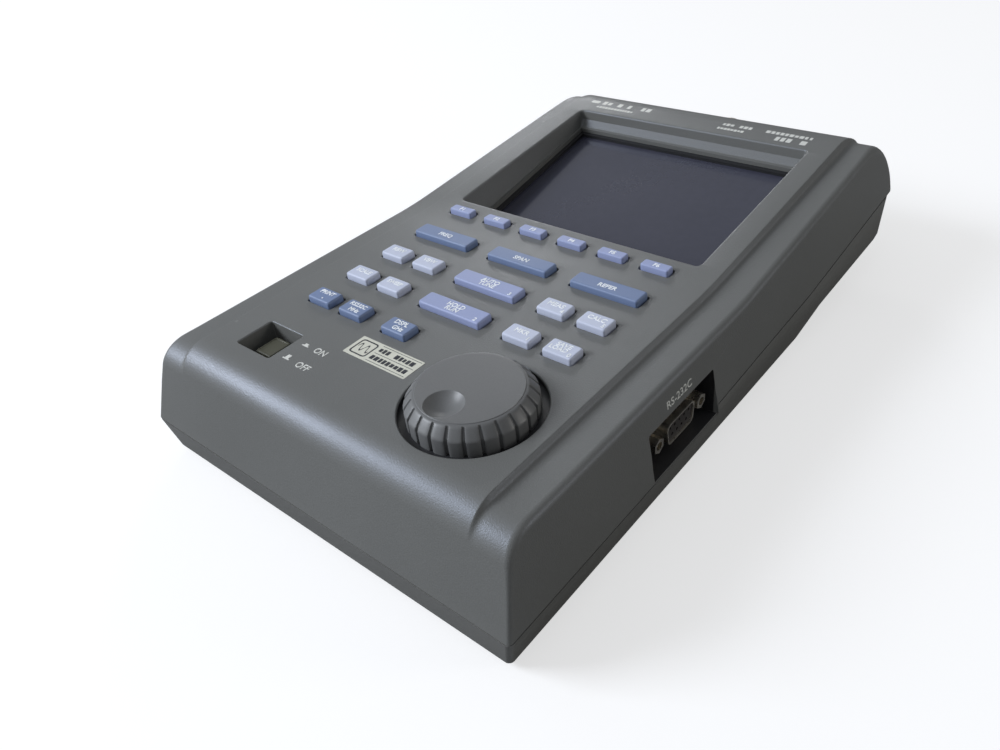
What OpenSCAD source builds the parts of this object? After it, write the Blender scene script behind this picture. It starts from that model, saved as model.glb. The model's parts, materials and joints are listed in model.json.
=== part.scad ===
// Handheld LCD spectrum analyzer.
// X is the width, Y runs from the knob end to the display end, Z is up.
// Origin: middle of the footprint, on the surface the rubber feet stand on.

/* [Case] */
// Widest width of the case, at the parting line
body_w = 162; // [160:0.5:166]
// Length of the case without the input connector
body_l = 265; // [264:0.5:268]
// Wall thickness of both shells
wall = 2.5; // [2.2:0.1:2.8]
// Height of the level keypad face above the case bottom
keypad_z = 43.4; // [43:0.1:45]
// Rise of the display face, in degrees
display_rise = 6; // [5.5:0.1:6.5]
// Height of the raised centre panel above the side shoulders
panel_step = 2.2; // [1.5:0.1:2.6]
// Width of the raised centre panel
panel_w = 128; // [126:0.5:130]

/* [Keys] */
// Gap between a key cap and its hole, on each side
key_gap = 0.3; // [0.2:0.05:0.4]
// Height of a key cap above the panel
key_proud = 2.2; // [1.8:0.1:2.6]
// Travel of a key
key_travel = 1.2; // [0.8:0.1:1.2]
// Depth of a wide or small key hole, front to back
key_hole_l = 7.6; // [7.2:0.1:8]
// Pitch of the small keys, left to right
small_pitch = 16; // [15.6:0.1:16.2]
// Pitch of the six function keys
function_pitch = 18; // [17.8:0.1:18.2]

/* [Knob] */
// Radius of the knob's ribbed skirt
knob_r = 19.6; // [19:0.1:20.2]
// Radius of the knob's flat top
knob_top_r = 16.2; // [15.5:0.1:16.8]
// Height of the knob above the panel
knob_proud = 6.6; // [6:0.1:8]
// Number of ribs round the skirt
knob_ribs = 24; // [20:1:28]

/* [Display] */
// Width of the display recess
display_w = 110; // [108:0.5:111]
// Tilt of the display window, in degrees
glass_tilt = 10; // [9:0.5:10.5]

/* [Serial port] */
// Spacing of the two jack screws
jack_spacing = 24.99; // [24.9:0.01:25.1]

/* [Hidden] */
$fn = 48;
tiny = 0.05;

// Resting height and middle of the footprint
foot_h = 1.2;
mid_y = 135;

// Side view of the case: (y, z) corners and radii
front_lean = 0.33;
front_top_r = 12;
bend_y = 129.5;
bend_r = 190;
far_corner_y = body_l - 3.5;
far_r = 29;
rise = tan(display_rise);
far_drop = 3.4;
parting_z = 13.5;
parting = [[0, parting_z], [107, parting_z], [107.5, 16.6], [178, 19.3], [250, 25.6], [body_l, 26.4]];
hump_end_y = 172;
ramp_end_y = 192;
thin_z = 7.6;
thin_end = [253, 12.6];
front_inset = 2.2;

// Section across the case
half_w = body_w / 2;
half_bottom = half_w - 3.2;
wall_lean = 0.15;
shoulder_r = 3;
shoulder_rise = atan(rise - (far_drop - panel_step) / (far_corner_y - bend_y));
front_corner_r = 3;
far_corner_r = 10;
panel_skin_w = panel_w - 8;

// Keypad layout, in case coordinates
key_left = -51;
function_left = -52.6;
top_left = -51.8;
small_w = 11.6;
wide_w = 27.8;
top_w = 27.6;
top_pitch = 37.2;
function_w = 11.6;
function_l = 4.7;
wide_x = -14;
right_x = 22.8;
row_function = 128.3;
row_top = 107.2;
row_b = 88.4;
row_c = 70.6;
row_d = 52.8;
flange_t = 0.9;
flange_lip = 0.9;
panel_under = keypad_z - wall;
board_z = 31.4;
board_t = 1.6;
main_top = 19.65;
mat_t = 1.9;
stem_drop = 1.9;
dome_top = panel_under - stem_drop - key_travel - 0.2;

// Power button well
well_x = [-51.5, -34.5];
well_y = [23, 37.4];
well_floor = 36.4;
well_wall = 1.8;
plunger = [7.8, 9.2];
plunger_at = [-44, 31];
plunger_top = 39.4;
power_travel = 3;
plunger_base = board_z + power_travel + 0.2;
rod_base = 27.5;
rod_r = 2;
switch_base = 23.5;

// Knob
knob_at = [37.3, 41.2];
knob_bore_r = 22;
knob_floor = 40;
floor_t = 1.6;
shaft_r = 3;
running_gap = 0.05;
bushing_r = 4.5;
dimple_r = 13;
dimple_depth = 1.3;
dimple_at = [-1.1, -9.6];

// Display recess, lip plane and window stack
rim_near = 138.9;
rim_far = 225.3;
lip_y = 139.5;
lip_z = 32;
lip_l = 84.5;
window_half = 52.6;

// Serial port pocket
port_y = [68.6, 106.5];
port_top = 30.6;
port_floor_x = 72.5;
port_mid = [87.2, 22.3];
shell_end_x = 78.4;
socket_pitch = 2.76;
socket_rows = 2.84;

// Input connector, DC jack and charge lamp
input_z = 35;
input_r = 7.94;
input_end = 270;
input_body_r = 8.6;
input_thread_y = 265.3;
bracket_y = 247;
bracket_t = 2.5;
cable_y = 240;
cable_z = 32.4;
cable_r = 1.2;
jack_at = [150, 29];
lamp_at = [163, 29];

// Rubber feet
foot_x = 60;
foot_y = [13, 156];
foot_r = 6;

// Battery bay, stand and screws
bay_x = 50;
bay_y = [22, 122];
cover_t = 2.5;
stand_half = 34;
stand_y = [198, 246];
stand_t = 3;
screw_at = [[-71, 14], [71, 14], [-71, 128], [71, 128], [-71, 246], [71, 246]];
board_screw_at = [[-61, 161], [61, 161], [-61, 246], [61, 246]];
pilot_z = 13.8;

// --- Outline helpers -------------------------------------------------------

// Points of a fillet of radius r at corner b between a and c
function fillet(a, b, c, r, n = 8) =
    let (u = (a - b) / norm(a - b), v = (c - b) / norm(c - b))
    let (h = acos(u * v) / 2, o = b + (u + v) / norm(u + v) * r / sin(h))
    let (p = b + u * r / tan(h) - o, q = b + v * r / tan(h) - o)
    let (a0 = atan2(p[1], p[0]), d = (atan2(q[1], q[0]) - a0 + 540) % 360 - 180)
    [for (i = [0:n]) o + r * [cos(a0 + d * i / n), sin(a0 + d * i / n)]];

function flat(p) = [p[0], p[1]];

// A closed outline from corners [x, y, radius]
function rounded(c) = [
    for (i = [0:len(c) - 1])
        each c[i][2] == 0
            ? [flat(c[i])]
            : fillet(flat(c[(i + len(c) - 1) % len(c)]), flat(c[i]), flat(c[(i + 1) % len(c)]), c[i][2])
];

function reversed(list) = [for (i = [len(list) - 1:-1:0]) list[i]];

// Height of the display face, and of the parting line, at a given y
function face_z(y) = keypad_z + max(0, (y - bend_y) * rise);
function part_z(y) = lookup(y, parting);
function under_z(y) = y < hump_end_y
    ? 0
    : thin_z + (y - ramp_end_y) * (thin_end[1] - thin_z) / (thin_end[0] - ramp_end_y);

// Upper corners of the side view, lowered by drop and drawn in by i
function top_corners(drop, drop_far, i) = [
    [i + front_lean * (keypad_z - drop - parting_z), keypad_z - drop - i, front_top_r - i],
    [bend_y, keypad_z - drop - i, bend_r],
    [far_corner_y - i, face_z(far_corner_y) - drop_far - i, far_r - drop_far - i]
];

// Everything between two side outlines is drawn along X
module along_x(half) {
    rotate([90, 0, 90])
        linear_extrude(height = 2 * half, center = true)
            children();
}

module place() {
    translate([0, -mid_y, foot_h])
        children();
}

module slab(x, y, z) {
    translate([x[0], y[0], z[0]])
        cube([x[1] - x[0], y[1] - y[0], z[1] - z[0]]);
}

// A block with rounded vertical edges, centred in x and y
module round_block(w, l, h, r) {
    translate([-w / 2 + r, -l / 2, 0]) cube([w - 2 * r, l, h]);
    translate([-w / 2, -l / 2 + r, 0]) cube([w, l - 2 * r, h]);
    for (sx = [-1, 1], sy = [-1, 1])
        translate([sx * (w / 2 - r), sy * (l / 2 - r), 0]) cylinder(r = r, h = h);
}

// --- Case form -------------------------------------------------------------

// Section of the walls with rounded shoulders at height top
module section(top, i) {
    w_top = half_w - wall_lean * (top - parting_z) - i;
    c = [
        [half_bottom - i, -5, 0],
        [half_bottom - i, 0, 0],
        [half_w - i, parting_z, 0],
        [w_top, top, shoulder_r - i / 2],
        [-w_top, top, shoulder_r - i / 2],
        [-half_w + i, parting_z, 0],
        [-half_bottom + i, 0, 0],
        [-half_bottom + i, -5, 0]
    ];
    polygon(rounded(c));
}

// Walls as two prisms: one level, one that follows the display face
module wall_prisms(i) {
    shoulder = keypad_z - panel_step - i;
    translate([0, body_l + 30, 0])
        rotate([90, 0, 0])
            linear_extrude(height = body_l + 60) section(shoulder, i);
    translate([0, bend_y, shoulder])
        rotate([shoulder_rise, 0, 0])
            translate([0, body_l, -shoulder])
                rotate([90, 0, 0])
                    linear_extrude(height = body_l + 30) section(shoulder, i);
}

// Plan view with round corners, drawn in by i
module plan(i) {
    w = half_w + 1 - i;
    r = [max(front_corner_r - i, 0.5), far_corner_r - i];
    translate([0, 0, -10])
        linear_extrude(height = 90)
            polygon(rounded([
                [-w, i - 1, r[0]], [w, i - 1, r[0]],
                [w, body_l + 1 - i, r[1]], [-w, body_l + 1 - i, r[1]]
            ]));
}

// Either end of the case, drawn in by i
function drawn_in(y, i) = y + (y == 0 ? i : 0) - (y == body_l ? i : 0);

// Upper shell form: from the parting line (lowered by sink) up to the top faces
module upper_form(i, sink) {
    foot = [for (p = reversed(parting)) [drawn_in(p[0], i), p[1] - sink, 0]];
    intersection() {
        plan(i);
        union() {
            intersection() {
                along_x(half_w + 1)
                    polygon(rounded(concat(top_corners(panel_step, far_drop, i), foot)));
                wall_prisms(i);
            }
            along_x((i > 0 ? panel_skin_w : panel_w) / 2)
                polygon(rounded(concat(top_corners(0, 0, i), foot)));
        }
    }
}

// Lower shell form, drawn in by i, its top raised by lift
module lower_form(i, lift) {
    rim = [for (p = parting) [drawn_in(p[0], i), p[1] + lift, 0]];
    base = [
        [thin_end[0], thin_end[1] + i, 14 - i],
        [ramp_end_y, thin_z + i, 6],
        [hump_end_y, i, 6],
        [front_inset + i, i, 1]
    ];
    intersection() {
        plan(i);
        along_x(half_w + 1) polygon(rounded(concat(rim, base)));
        translate([0, body_l + 30, 0])
            rotate([90, 0, 0])
                linear_extrude(height = body_l + 60) section(60, i);
    }
}

// --- Display recess --------------------------------------------------------

// Puts children in the window frame: X across, Y up the tilted window, Z out of it
module on_window() {
    translate([0, lip_y, lip_z])
        rotate([glass_tilt, 0, 0])
            children();
}

// Side view of the recess, grown by g
module recess_side(g) {
    u = [cos(glass_tilt), sin(glass_tilt)];
    n = [-sin(glass_tilt), cos(glass_tilt)];
    lip_near = [lip_y, lip_z];
    lip_far = lip_near + lip_l * u;
    polygon([
        [rim_near - g, 70],
        [rim_near - g, keypad_z - 2],
        lip_near - g * (u + n),
        lip_far + g * (0.6 * u - n),
        [rim_far + g, lip_far[1] + 2.6 - g],
        [rim_far + g, 70]
    ]);
}

// --- Shells ----------------------------------------------------------------

// Screw bosses end inside the shoulder's skin
function boss_top(y) = y > 200 ? 50 : keypad_z - panel_step - 1;

// Key holes as [left, near, width, length]
function_cells = [for (i = [0:5])
    [function_left + i * function_pitch, row_function, function_w, function_l]];
top_cells = [for (i = [0:2]) [top_left + i * top_pitch, row_top, top_w, key_hole_l]];
b_cells = [
    [key_left, row_b, small_w, key_hole_l],
    [key_left + small_pitch, row_b, small_w, key_hole_l],
    [wide_x, row_b, wide_w, key_hole_l],
    [right_x, row_b, small_w, key_hole_l],
    [right_x + small_pitch, row_b, small_w, key_hole_l]
];
c_cells = [for (c = b_cells) [c[0], row_c, c[2], c[3]]];
d_cells = [
    [key_left, row_d, small_w, key_hole_l],
    [key_left + small_pitch, row_d, small_w, key_hole_l],
    [wide_x, row_d, small_w, key_hole_l]
];
all_cells = concat(function_cells, top_cells, b_cells, c_cells, d_cells);

module key_holes() {
    for (c = all_cells)
        translate([c[0] + c[2] / 2, c[1] + c[3] / 2, panel_under - 1])
            round_block(c[2], c[3], 8, 0.9);
}

// Walls round the serial port pocket, from z0 to z1
module port_box(z0, z1) {
    slab([port_floor_x - 1.8, half_w], [port_y[0] - 1.8, port_y[1] + 0.4], [z0, z1]);
}

module top_case() {
    color("#6d6f6a") place() {
        difference() {
            union() {
                difference() {
                    upper_form(0, 0);
                    upper_form(wall, 6);
                }
                // Walls of the display recess
                intersection() {
                    upper_form(1, 0);
                    along_x(display_w / 2 + 1.8) recess_side(1.8);
                }
                // Power button well and knob well
                slab([well_x[0] - well_wall, well_x[1] + well_wall],
                    [well_y[0] - well_wall, well_y[1] + well_wall],
                    [well_floor - floor_t, keypad_z - 1]);
                translate([knob_at[0], knob_at[1], knob_floor - floor_t])
                    cylinder(r = knob_bore_r + 1.8, h = wall + 1);
                // Serial port pocket
                intersection() {
                    upper_form(1, 0);
                    port_box(parting_z, port_top + 1.8);
                }
                // Screw bosses, kept inside the skin
                intersection() {
                    upper_form(1, 0);
                    for (p = screw_at)
                        translate([p[0], p[1], part_z(p[1])])
                            cylinder(r = 3.6, h = boss_top(p[1]) - part_z(p[1]));
                }
            }
            key_holes();
            along_x(display_w / 2) recess_side(0);
            on_window()
                slab([-window_half, window_half], [1.2, lip_l - 1.6], [-6, 4]);
            slab(well_x, well_y, [well_floor, keypad_z + 5]);
            translate([plunger_at[0], plunger_at[1], well_floor])
                cube([plunger[0] + 2 * key_gap, plunger[1] + 2 * key_gap, 12], center = true);
            translate([knob_at[0], knob_at[1], knob_floor])
                cylinder(r = knob_bore_r, h = 10);
            translate([knob_at[0], knob_at[1], knob_floor - 5])
                cylinder(r = bushing_r + 0.2, h = 10);
            slab([port_floor_x, half_w + 5], port_y, [parting_z - 5, port_top]);
            slab([port_floor_x - 5, port_floor_x + 1], [port_mid[0] - 9.9, port_mid[0] + 9.9],
                [port_mid[1] - 5.8, port_mid[1] + 5.8]);
            for (s = [-1, 1])
                translate([port_floor_x - 4, port_mid[0] + s * jack_spacing / 2, port_mid[1]])
                    rotate([0, 90, 0]) cylinder(r = 1.6, h = 5);
            translate([0, body_l - 12, input_z])
                rotate([-90, 0, 0]) cylinder(r = input_body_r + 0.2, h = 30);
            translate([-half_w - 2, jack_at[0], jack_at[1]])
                rotate([0, 90, 0]) cylinder(r = 4.2, h = 8);
            translate([-half_w - 2, lamp_at[0], lamp_at[1]])
                rotate([0, 90, 0]) cylinder(r = 1.6, h = 8);
            for (p = screw_at)
                translate([p[0], p[1], part_z(p[1]) - 1]) cylinder(r = 1.3, h = 12);
        }
    }
}

module stand_pocket(g) {
    slab([-stand_half - g, stand_half + g],
        [stand_y[0] - 6 - g, stand_y[1] + 2 + g],
        [0, stand_ceiling() + g]);
}

// Ceiling of the stand pocket, level
function stand_ceiling() = under_z(stand_y[1]) + 3.4;

module bottom_case() {
    color("#696a66") place() {
        difference() {
            union() {
                difference() {
                    lower_form(0, 0);
                    lower_form(wall, 6);
                }
                // Shelf under the serial port
                intersection() {
                    lower_form(1, 0);
                    port_box(parting_z - 2.2, parting_z);
                }
                // Frame of the battery bay
                slab([-bay_x - 3, bay_x + 3], [bay_y[0] - 3, bay_y[1] + 3], [0.5, 5]);
                // Pan over the folded stand
                intersection() {
                    lower_form(1, 0);
                    stand_pocket(1.6);
                }
                // Screw tubes and board posts
                for (p = screw_at)
                    translate([p[0], p[1], under_z(p[1]) + 1])
                        cylinder(r = 3.6, h = part_z(p[1]) - under_z(p[1]) - 1);
                for (p = board_screw_at)
                    translate([p[0], p[1], under_z(p[1]) + 1])
                        cylinder(r = 3, h = 18 - under_z(p[1]) - 1);
            }
            slab([-bay_x, bay_x], bay_y, [-1, 6]);
            stand_pocket(0);
            // Bearings of the stand's trunnions
            translate([0, stand_y[0], stand_pivot_z()])
                rotate([0, 90, 0])
                    cylinder(r = stand_t / 2 + running_gap, h = 2 * stand_half + 2.4, center = true);
            for (p = screw_at)
                translate([p[0], p[1], under_z(p[1])]) {
                    translate([0, 0, -2]) cylinder(r = 1.7, h = 30);
                    translate([0, 0, -2]) cylinder(r = 3, h = 5);
                }
            for (p = board_screw_at)
                translate([p[0], p[1], pilot_z]) cylinder(r = 1.05, h = 10);
            slab([port_floor_x, half_w + 5], port_y, [parting_z - tiny, parting_z + 5]);
        }
    }
}

function stand_pivot_z() = stand_ceiling() - 2;

module rubber_feet() {
    color("#2b2b2b") place()
        for (x = [-foot_x, foot_x], y = foot_y)
            translate([x, y, -foot_h]) cylinder(r = foot_r, h = foot_h);
}

module battery_cover() {
    color("#696a66") place() {
        slab([-bay_x + 0.4, bay_x - 0.4], [bay_y[0] + 0.4, bay_y[1] - 0.4], [0, cover_t]);
        for (i = [-3:3])
            slab([i * 6 - 1.2, i * 6 + 1.2], [bay_y[1] - 14, bay_y[1] - 6], [-0.5, 0.5]);
    }
}

module tilt_stand() {
    color("#5c5d5a") place() {
        difference() {
            slab([-stand_half + 0.6, stand_half - 0.6], [stand_y[0], stand_y[1]],
                [stand_pivot_z() - stand_t / 2, stand_pivot_z() + stand_t / 2]);
            slab([-stand_half + 14, stand_half - 14], [stand_y[0] + 12, stand_y[1] - 10], [0, 40]);
        }
        translate([0, stand_y[0], stand_pivot_z()])
            rotate([0, 90, 0]) cylinder(r = stand_t / 2, h = 2 * stand_half + 2, center = true);
    }
}

module case_screws() {
    color("#3a3a3c") place()
        for (p = screw_at)
            translate([p[0], p[1], under_z(p[1]) + 1])
                difference() {
                    union() {
                        cylinder(r = 2.8, h = 1.9);
                        cylinder(r = 1.25, h = part_z(p[1]) - under_z(p[1]) + 8);
                    }
                    translate([-2, -0.4, -1]) cube([4, 0.8, 1.8]);
                    translate([-0.4, -2, -1]) cube([0.8, 4, 1.8]);
                }
}

// --- Display stack ---------------------------------------------------------

// A flat frame or plate in the window stack
module window_plate(half, v, z, hole_half = 0, hole_v = [0, 0]) {
    on_window()
        difference() {
            slab([-half, half], v, z);
            if (hole_half > 0)
                slab([-hole_half, hole_half], hole_v, [z[0] - 1, z[1] + 1]);
        }
}

module display_gasket() {
    color("#141414") place()
        window_plate(55.5, [-0.8, lip_l + 0.8], [-3.2, -1.85], 51, [3.4, lip_l - 3.4]);
}

module display_window() {
    color("#4b5060") place()
        window_plate(56, [-1, lip_l + 1], [-4.7, -3.25]);
}

module lcd_glass() {
    color("#3d4254") place()
        window_plate(55, [0, lip_l], [-7, -4.8]);
}

module lcd_frame() {
    color("#9a9c9e") place()
        window_plate(58, [-2, lip_l + 2], [-11, -4.8], 55.2, [-0.2, lip_l + 0.2]);
}

module backlight() {
    color("#e8e8e2") place()
        window_plate(55, [0, lip_l], [-11, -7.05]);
}

module backlight_inverter() {
    color("#3f6a45") place() {
        slab([60, 68], [150, 205], [26, 27.6]);
        slab([61, 67], [156, 172], [27.6, 34]);
        slab([61.5, 66.5], [180, 190], [27.6, 31]);
    }
}

// --- Keypad ----------------------------------------------------------------

// One key cap with its hidden flange and stem
module key_cap(c) {
    w = c[2] - 2 * key_gap;
    l = c[3] - 2 * key_gap;
    bevel = 0.45;
    place()
        translate([c[0] + c[2] / 2, c[1] + c[3] / 2, 0]) {
            translate([0, 0, panel_under - 0.1])
                round_block(w, l, wall + 0.1 + key_proud + key_lift(c) - bevel, 0.8);
            translate([0, 0, keypad_z + key_proud + key_lift(c) - bevel])
                round_block(w - 2 * bevel, l - 2 * bevel, bevel, 0.6);
            translate([0, 0, panel_under - 0.1 - flange_t])
                round_block(w + 2 * flange_lip, l + (c[3] > 6 ? 2 : 1) * flange_lip, flange_t, 0.8);
            translate([0, 0, panel_under - stem_drop])
                round_block(w - 2, l - 1.6, 1.2, 0.8);
        }
}

// The function keys stand where the face begins to rise
function key_lift(c) = c[1] > 125 ? 0.5 : 0;

module key_f1() { color("#9aa3cf") key_cap(function_cells[0]); }
module key_f2() { color("#9aa3cf") key_cap(function_cells[1]); }
module key_f3() { color("#9aa3cf") key_cap(function_cells[2]); }
module key_f4() { color("#9aa3cf") key_cap(function_cells[3]); }
module key_f5() { color("#9aa3cf") key_cap(function_cells[4]); }
module key_f6() { color("#9aa3cf") key_cap(function_cells[5]); }
module key_freq() { color("#6f84b4") key_cap(top_cells[0]); }
module key_span() { color("#6f84b4") key_cap(top_cells[1]); }
module key_refer() { color("#6f84b4") key_cap(top_cells[2]); }
module key_rbw() { color("#bec3e0") key_cap(b_cells[0]); }
module key_vbw() { color("#bec3e0") key_cap(b_cells[1]); }
module key_auto() { color("#9aa3cf") key_cap(b_cells[2]); }
module key_meas() { color("#bec3e0") key_cap(b_cells[3]); }
module key_calc() { color("#bec3e0") key_cap(b_cells[4]); }
module key_scale() { color("#bec3e0") key_cap(c_cells[0]); }
module key_sweep() { color("#bec3e0") key_cap(c_cells[1]); }
module key_hold() { color("#9aa3cf") key_cap(c_cells[2]); }
module key_marker() { color("#bec3e0") key_cap(c_cells[3]); }
module key_save() { color("#bec3e0") key_cap(c_cells[4]); }
module key_print() { color("#6f84b4") key_cap(d_cells[0]); }
module key_serial() { color("#6f84b4") key_cap(d_cells[1]); }
module key_display() { color("#6f84b4") key_cap(d_cells[2]); }

module key_board() {
    color("#2f6b3f") place()
        difference() {
            slab([-60, 60], [18, 134], [board_z, board_z + board_t]);
            translate([plunger_at[0], plunger_at[1], board_z - 1])
                cube([9, 10.4, 8], center = true);
            for (x = [-57, 57], y = [45, 131])
                translate([x, y, board_z - 1]) cylinder(r = 1.3, h = 4);
        }
}

module key_mat() {
    mat_z = board_z + board_t;
    color("#b9bcc4") place() {
        slab([-55, 55], [50, 134], [mat_z, mat_z + mat_t]);
        for (c = all_cells)
            for (dx = c[2] > 20 ? [-8, 8] : [0])
                translate([c[0] + c[2] / 2 + dx, c[1] + c[3] / 2, mat_z + mat_t - tiny])
                    cylinder(r = c[3] > 6 ? 2.6 : 1.7, h = dome_top - mat_z - mat_t + tiny);
    }
}

// --- Power switch and knob -------------------------------------------------

module power_button() {
    color("#6c6a52") place()
        translate([plunger_at[0], plunger_at[1], 0]) {
            translate([0, 0, plunger_base])
                round_block(plunger[0], plunger[1], plunger_top - plunger_base, 0.8);
            translate([0, 0, rod_base]) cylinder(r = rod_r, h = plunger_base + 1 - rod_base);
        }
}

module power_switch() {
    color("#202022") place()
        difference() {
            slab([plunger_at[0] - 8, plunger_at[0] + 8], [plunger_at[1] - 7, plunger_at[1] + 7],
                [switch_base, board_z - tiny]);
            translate([plunger_at[0], plunger_at[1], rod_base - power_travel - 0.3])
                cylinder(r = rod_r + 0.3, h = 20);
        }
}

module knob() {
    base = knob_floor + 0.4;
    bevel_z = keypad_z + knob_proud - 3.4;
    top = keypad_z + knob_proud;
    color("#55565a") place()
        translate([knob_at[0], knob_at[1], 0])
            difference() {
                union() {
                    translate([0, 0, base]) cylinder(r = knob_r, h = bevel_z - base);
                    translate([0, 0, bevel_z])
                        cylinder(r1 = knob_r, r2 = knob_top_r + 0.4, h = top - bevel_z - 0.3);
                    translate([0, 0, top - 0.3]) cylinder(r = knob_top_r, h = 0.3);
                }
                // Ribs are left between shallow grooves
                for (i = [0:knob_ribs - 1])
                    rotate([0, 0, i * 360 / knob_ribs])
                        translate([knob_r - 0.5, -0.7, base - 1]) cube([3, 1.4, top]);
                translate([0, 0, base - 1]) cylinder(r = 8.5, h = 5.8);
                translate([0, 0, base - 1]) cylinder(r = shaft_r + 0.02, h = top - base - 0.6);
                translate([dimple_at[0], dimple_at[1], top + dimple_r - dimple_depth])
                    sphere(r = dimple_r, $fn = 64);
            }
}

module encoder_shaft() {
    color("#b8babd") place()
        translate([knob_at[0], knob_at[1], board_z + board_t + 2])
            cylinder(r = shaft_r, h = keypad_z + knob_proud - 2.2 - board_z - board_t - 2);
}

module encoder_body() {
    body_z = board_z + board_t;
    color("#8f9296") place()
        translate([knob_at[0], knob_at[1], 0])
            difference() {
                union() {
                    translate([-7, -7, body_z]) cube([14, 14, knob_floor - floor_t - 0.1 - body_z]);
                    translate([0, 0, body_z]) cylinder(r = bushing_r, h = knob_floor + 3.4 - body_z);
                }
                translate([0, 0, body_z + 1.2]) cylinder(r = shaft_r + running_gap, h = 20);
            }
}

module encoder_nut() {
    color("#a9abaf") place()
        translate([knob_at[0], knob_at[1], knob_floor + 0.05])
            difference() {
                cylinder(r = 6.9, h = 2, $fn = 6);
                translate([0, 0, -1]) cylinder(r = bushing_r + tiny, h = 4);
            }
}

// --- Electronics -----------------------------------------------------------

module main_board() {
    color("#2f6b3f") place()
        difference() {
            slab([-64, 64], [156, 252.5], [main_top - board_t, main_top]);
            for (p = board_screw_at)
                translate([p[0], p[1], 15]) cylinder(r = 1.3, h = 8);
        }
}

module board_screws() {
    color("#b0b2b4") place()
        for (p = board_screw_at)
            translate([p[0], p[1], 0]) {
                translate([0, 0, 19.7]) cylinder(r = 2.3, h = 1.5);
                translate([0, 0, 14]) cylinder(r = 1, h = 6);
            }
}

module rf_shield() {
    color("#aeb0b2") place()
        difference() {
            slab([-48, 20], [200, 246], [19.7, 28.5]);
            // Two open chambers with a partition between them
            slab([-47.4, -14.3], [200.6, 245.4], [19, 30]);
            slab([-13.7, 19.4], [200.6, 245.4], [19, 30]);
        }
}

module rf_lid() {
    color("#bfc1c3") place()
        slab([-48.4, 20.4], [199.6, 246.4], [28.55, 29.1]);
}

module rf_connector() {
    color("#c9c3b2") place()
        translate([0, 0, input_z])
            difference() {
                union() {
                    // Bracket that stands on the main board
                    slab([-9, 9], [bracket_y, bracket_y + bracket_t], [main_top + tiny - input_z, 9]);
                    translate([0, bracket_y, 0])
                        rotate([-90, 0, 0]) cylinder(r = input_body_r, h = input_thread_y - bracket_y);
                    translate([0, bracket_y, 0])
                        rotate([-90, 0, 0]) cylinder(r = input_r, h = input_end - bracket_y);
                }
                translate([0, 254, 0])
                    rotate([-90, 0, 0])
                        difference() {
                            cylinder(r = 6.4, h = 30);
                            cylinder(r = 2.1, h = 14);
                        }
            }
}

module rf_nut() {
    color("#b9b3a2") place()
        translate([0, bracket_y + bracket_t + tiny, input_z])
            rotate([-90, 0, 0])
                difference() {
                    cylinder(r = 10.4, h = 1.6);
                    translate([0, 0, -1]) cylinder(r = input_body_r + tiny, h = 4);
                }
}

module rf_cable() {
    color("#8a6a3a") place() {
        translate([0, cable_y, cable_z])
            rotate([-90, 0, 0]) cylinder(r = cable_r, h = bracket_y - cable_y - tiny);
        translate([0, cable_y, 29.2]) cylinder(r = cable_r, h = cable_z - 29.2);
        translate([0, cable_y, cable_z]) sphere(r = cable_r);
    }
}

module dc_jack() {
    color("#1c1c1e") place()
        difference() {
            translate([-half_w + 5.8, jack_at[0] - 5.5, jack_at[1] - 5.5]) cube([13, 11, 11]);
            translate([-half_w, jack_at[0], jack_at[1]])
                rotate([0, 90, 0])
                    difference() {
                        cylinder(r = 3.2, h = 15);
                        cylinder(r = 1, h = 16);
                    }
        }
}

module charge_lamp() {
    color("#c8d8c0") place()
        translate([-half_w + 2.8, lamp_at[0], lamp_at[1]])
            rotate([0, 90, 0]) {
                cylinder(r = 1.5, h = 5);
                translate([0, 0, 3.5]) cylinder(r = 2.2, h = 3);
            }
}

// --- Serial port -----------------------------------------------------------

// D-shaped outline seen along X, drawn in by i
module d_outline(i) {
    c = [
        [-8.4 + i, 4.1 - i, 2],
        [8.4 - i, 4.1 - i, 2],
        [7.2 - i, -4.1 + i, 2],
        [-7.2 + i, -4.1 + i, 2]
    ];
    polygon(rounded(c));
}

module along_port(x0, x1) {
    translate([x0, port_mid[0], port_mid[1]])
        rotate([90, 0, 90])
            linear_extrude(height = x1 - x0) children();
}

module serial_shell() {
    color("#c4bda8") place()
        difference() {
            union() {
                along_port(port_floor_x + tiny, port_floor_x + 1) square([30.6, 12.4], center = true);
                along_port(port_floor_x + 0.5, shell_end_x) d_outline(0);
            }
            along_port(port_floor_x - 1, shell_end_x + 1) d_outline(0.5);
            for (s = [-1, 1])
                translate([port_floor_x - 1, port_mid[0] + s * jack_spacing / 2, port_mid[1]])
                    rotate([0, 90, 0]) cylinder(r = 1.6, h = 5);
        }
}

module serial_insulator() {
    color("#20222c") place()
        difference() {
            union() {
                along_port(port_floor_x - 8, port_floor_x) square([19, 10.6], center = true);
                along_port(port_floor_x - 1, shell_end_x - 0.6) d_outline(0.6);
            }
            // Five sockets over four
            for (row = [0, 1], i = [0:4 - row])
                translate([shell_end_x - 5, port_mid[0], port_mid[1]])
                    translate([0, (i - 2 + row / 2) * socket_pitch, (0.5 - row) * socket_rows])
                        rotate([0, 90, 0]) cylinder(r = 0.55, h = 6, $fn = 16);
        }
}

module jack_screws() {
    color("#cfc8b4") place()
        for (s = [-1, 1])
            translate([port_floor_x + 1.05, port_mid[0] + s * jack_spacing / 2, port_mid[1]])
                rotate([0, 90, 0])
                    difference() {
                        union() {
                            cylinder(r = 2.74, h = 4.8, $fn = 6);
                            translate([0, 0, -3.2]) cylinder(r = 1.42, h = 4);
                        }
                        translate([0, 0, 0.8]) cylinder(r = 1.42, h = 6);
                    }
}

// --- Battery, buzzer and ribbon --------------------------------------------

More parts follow.
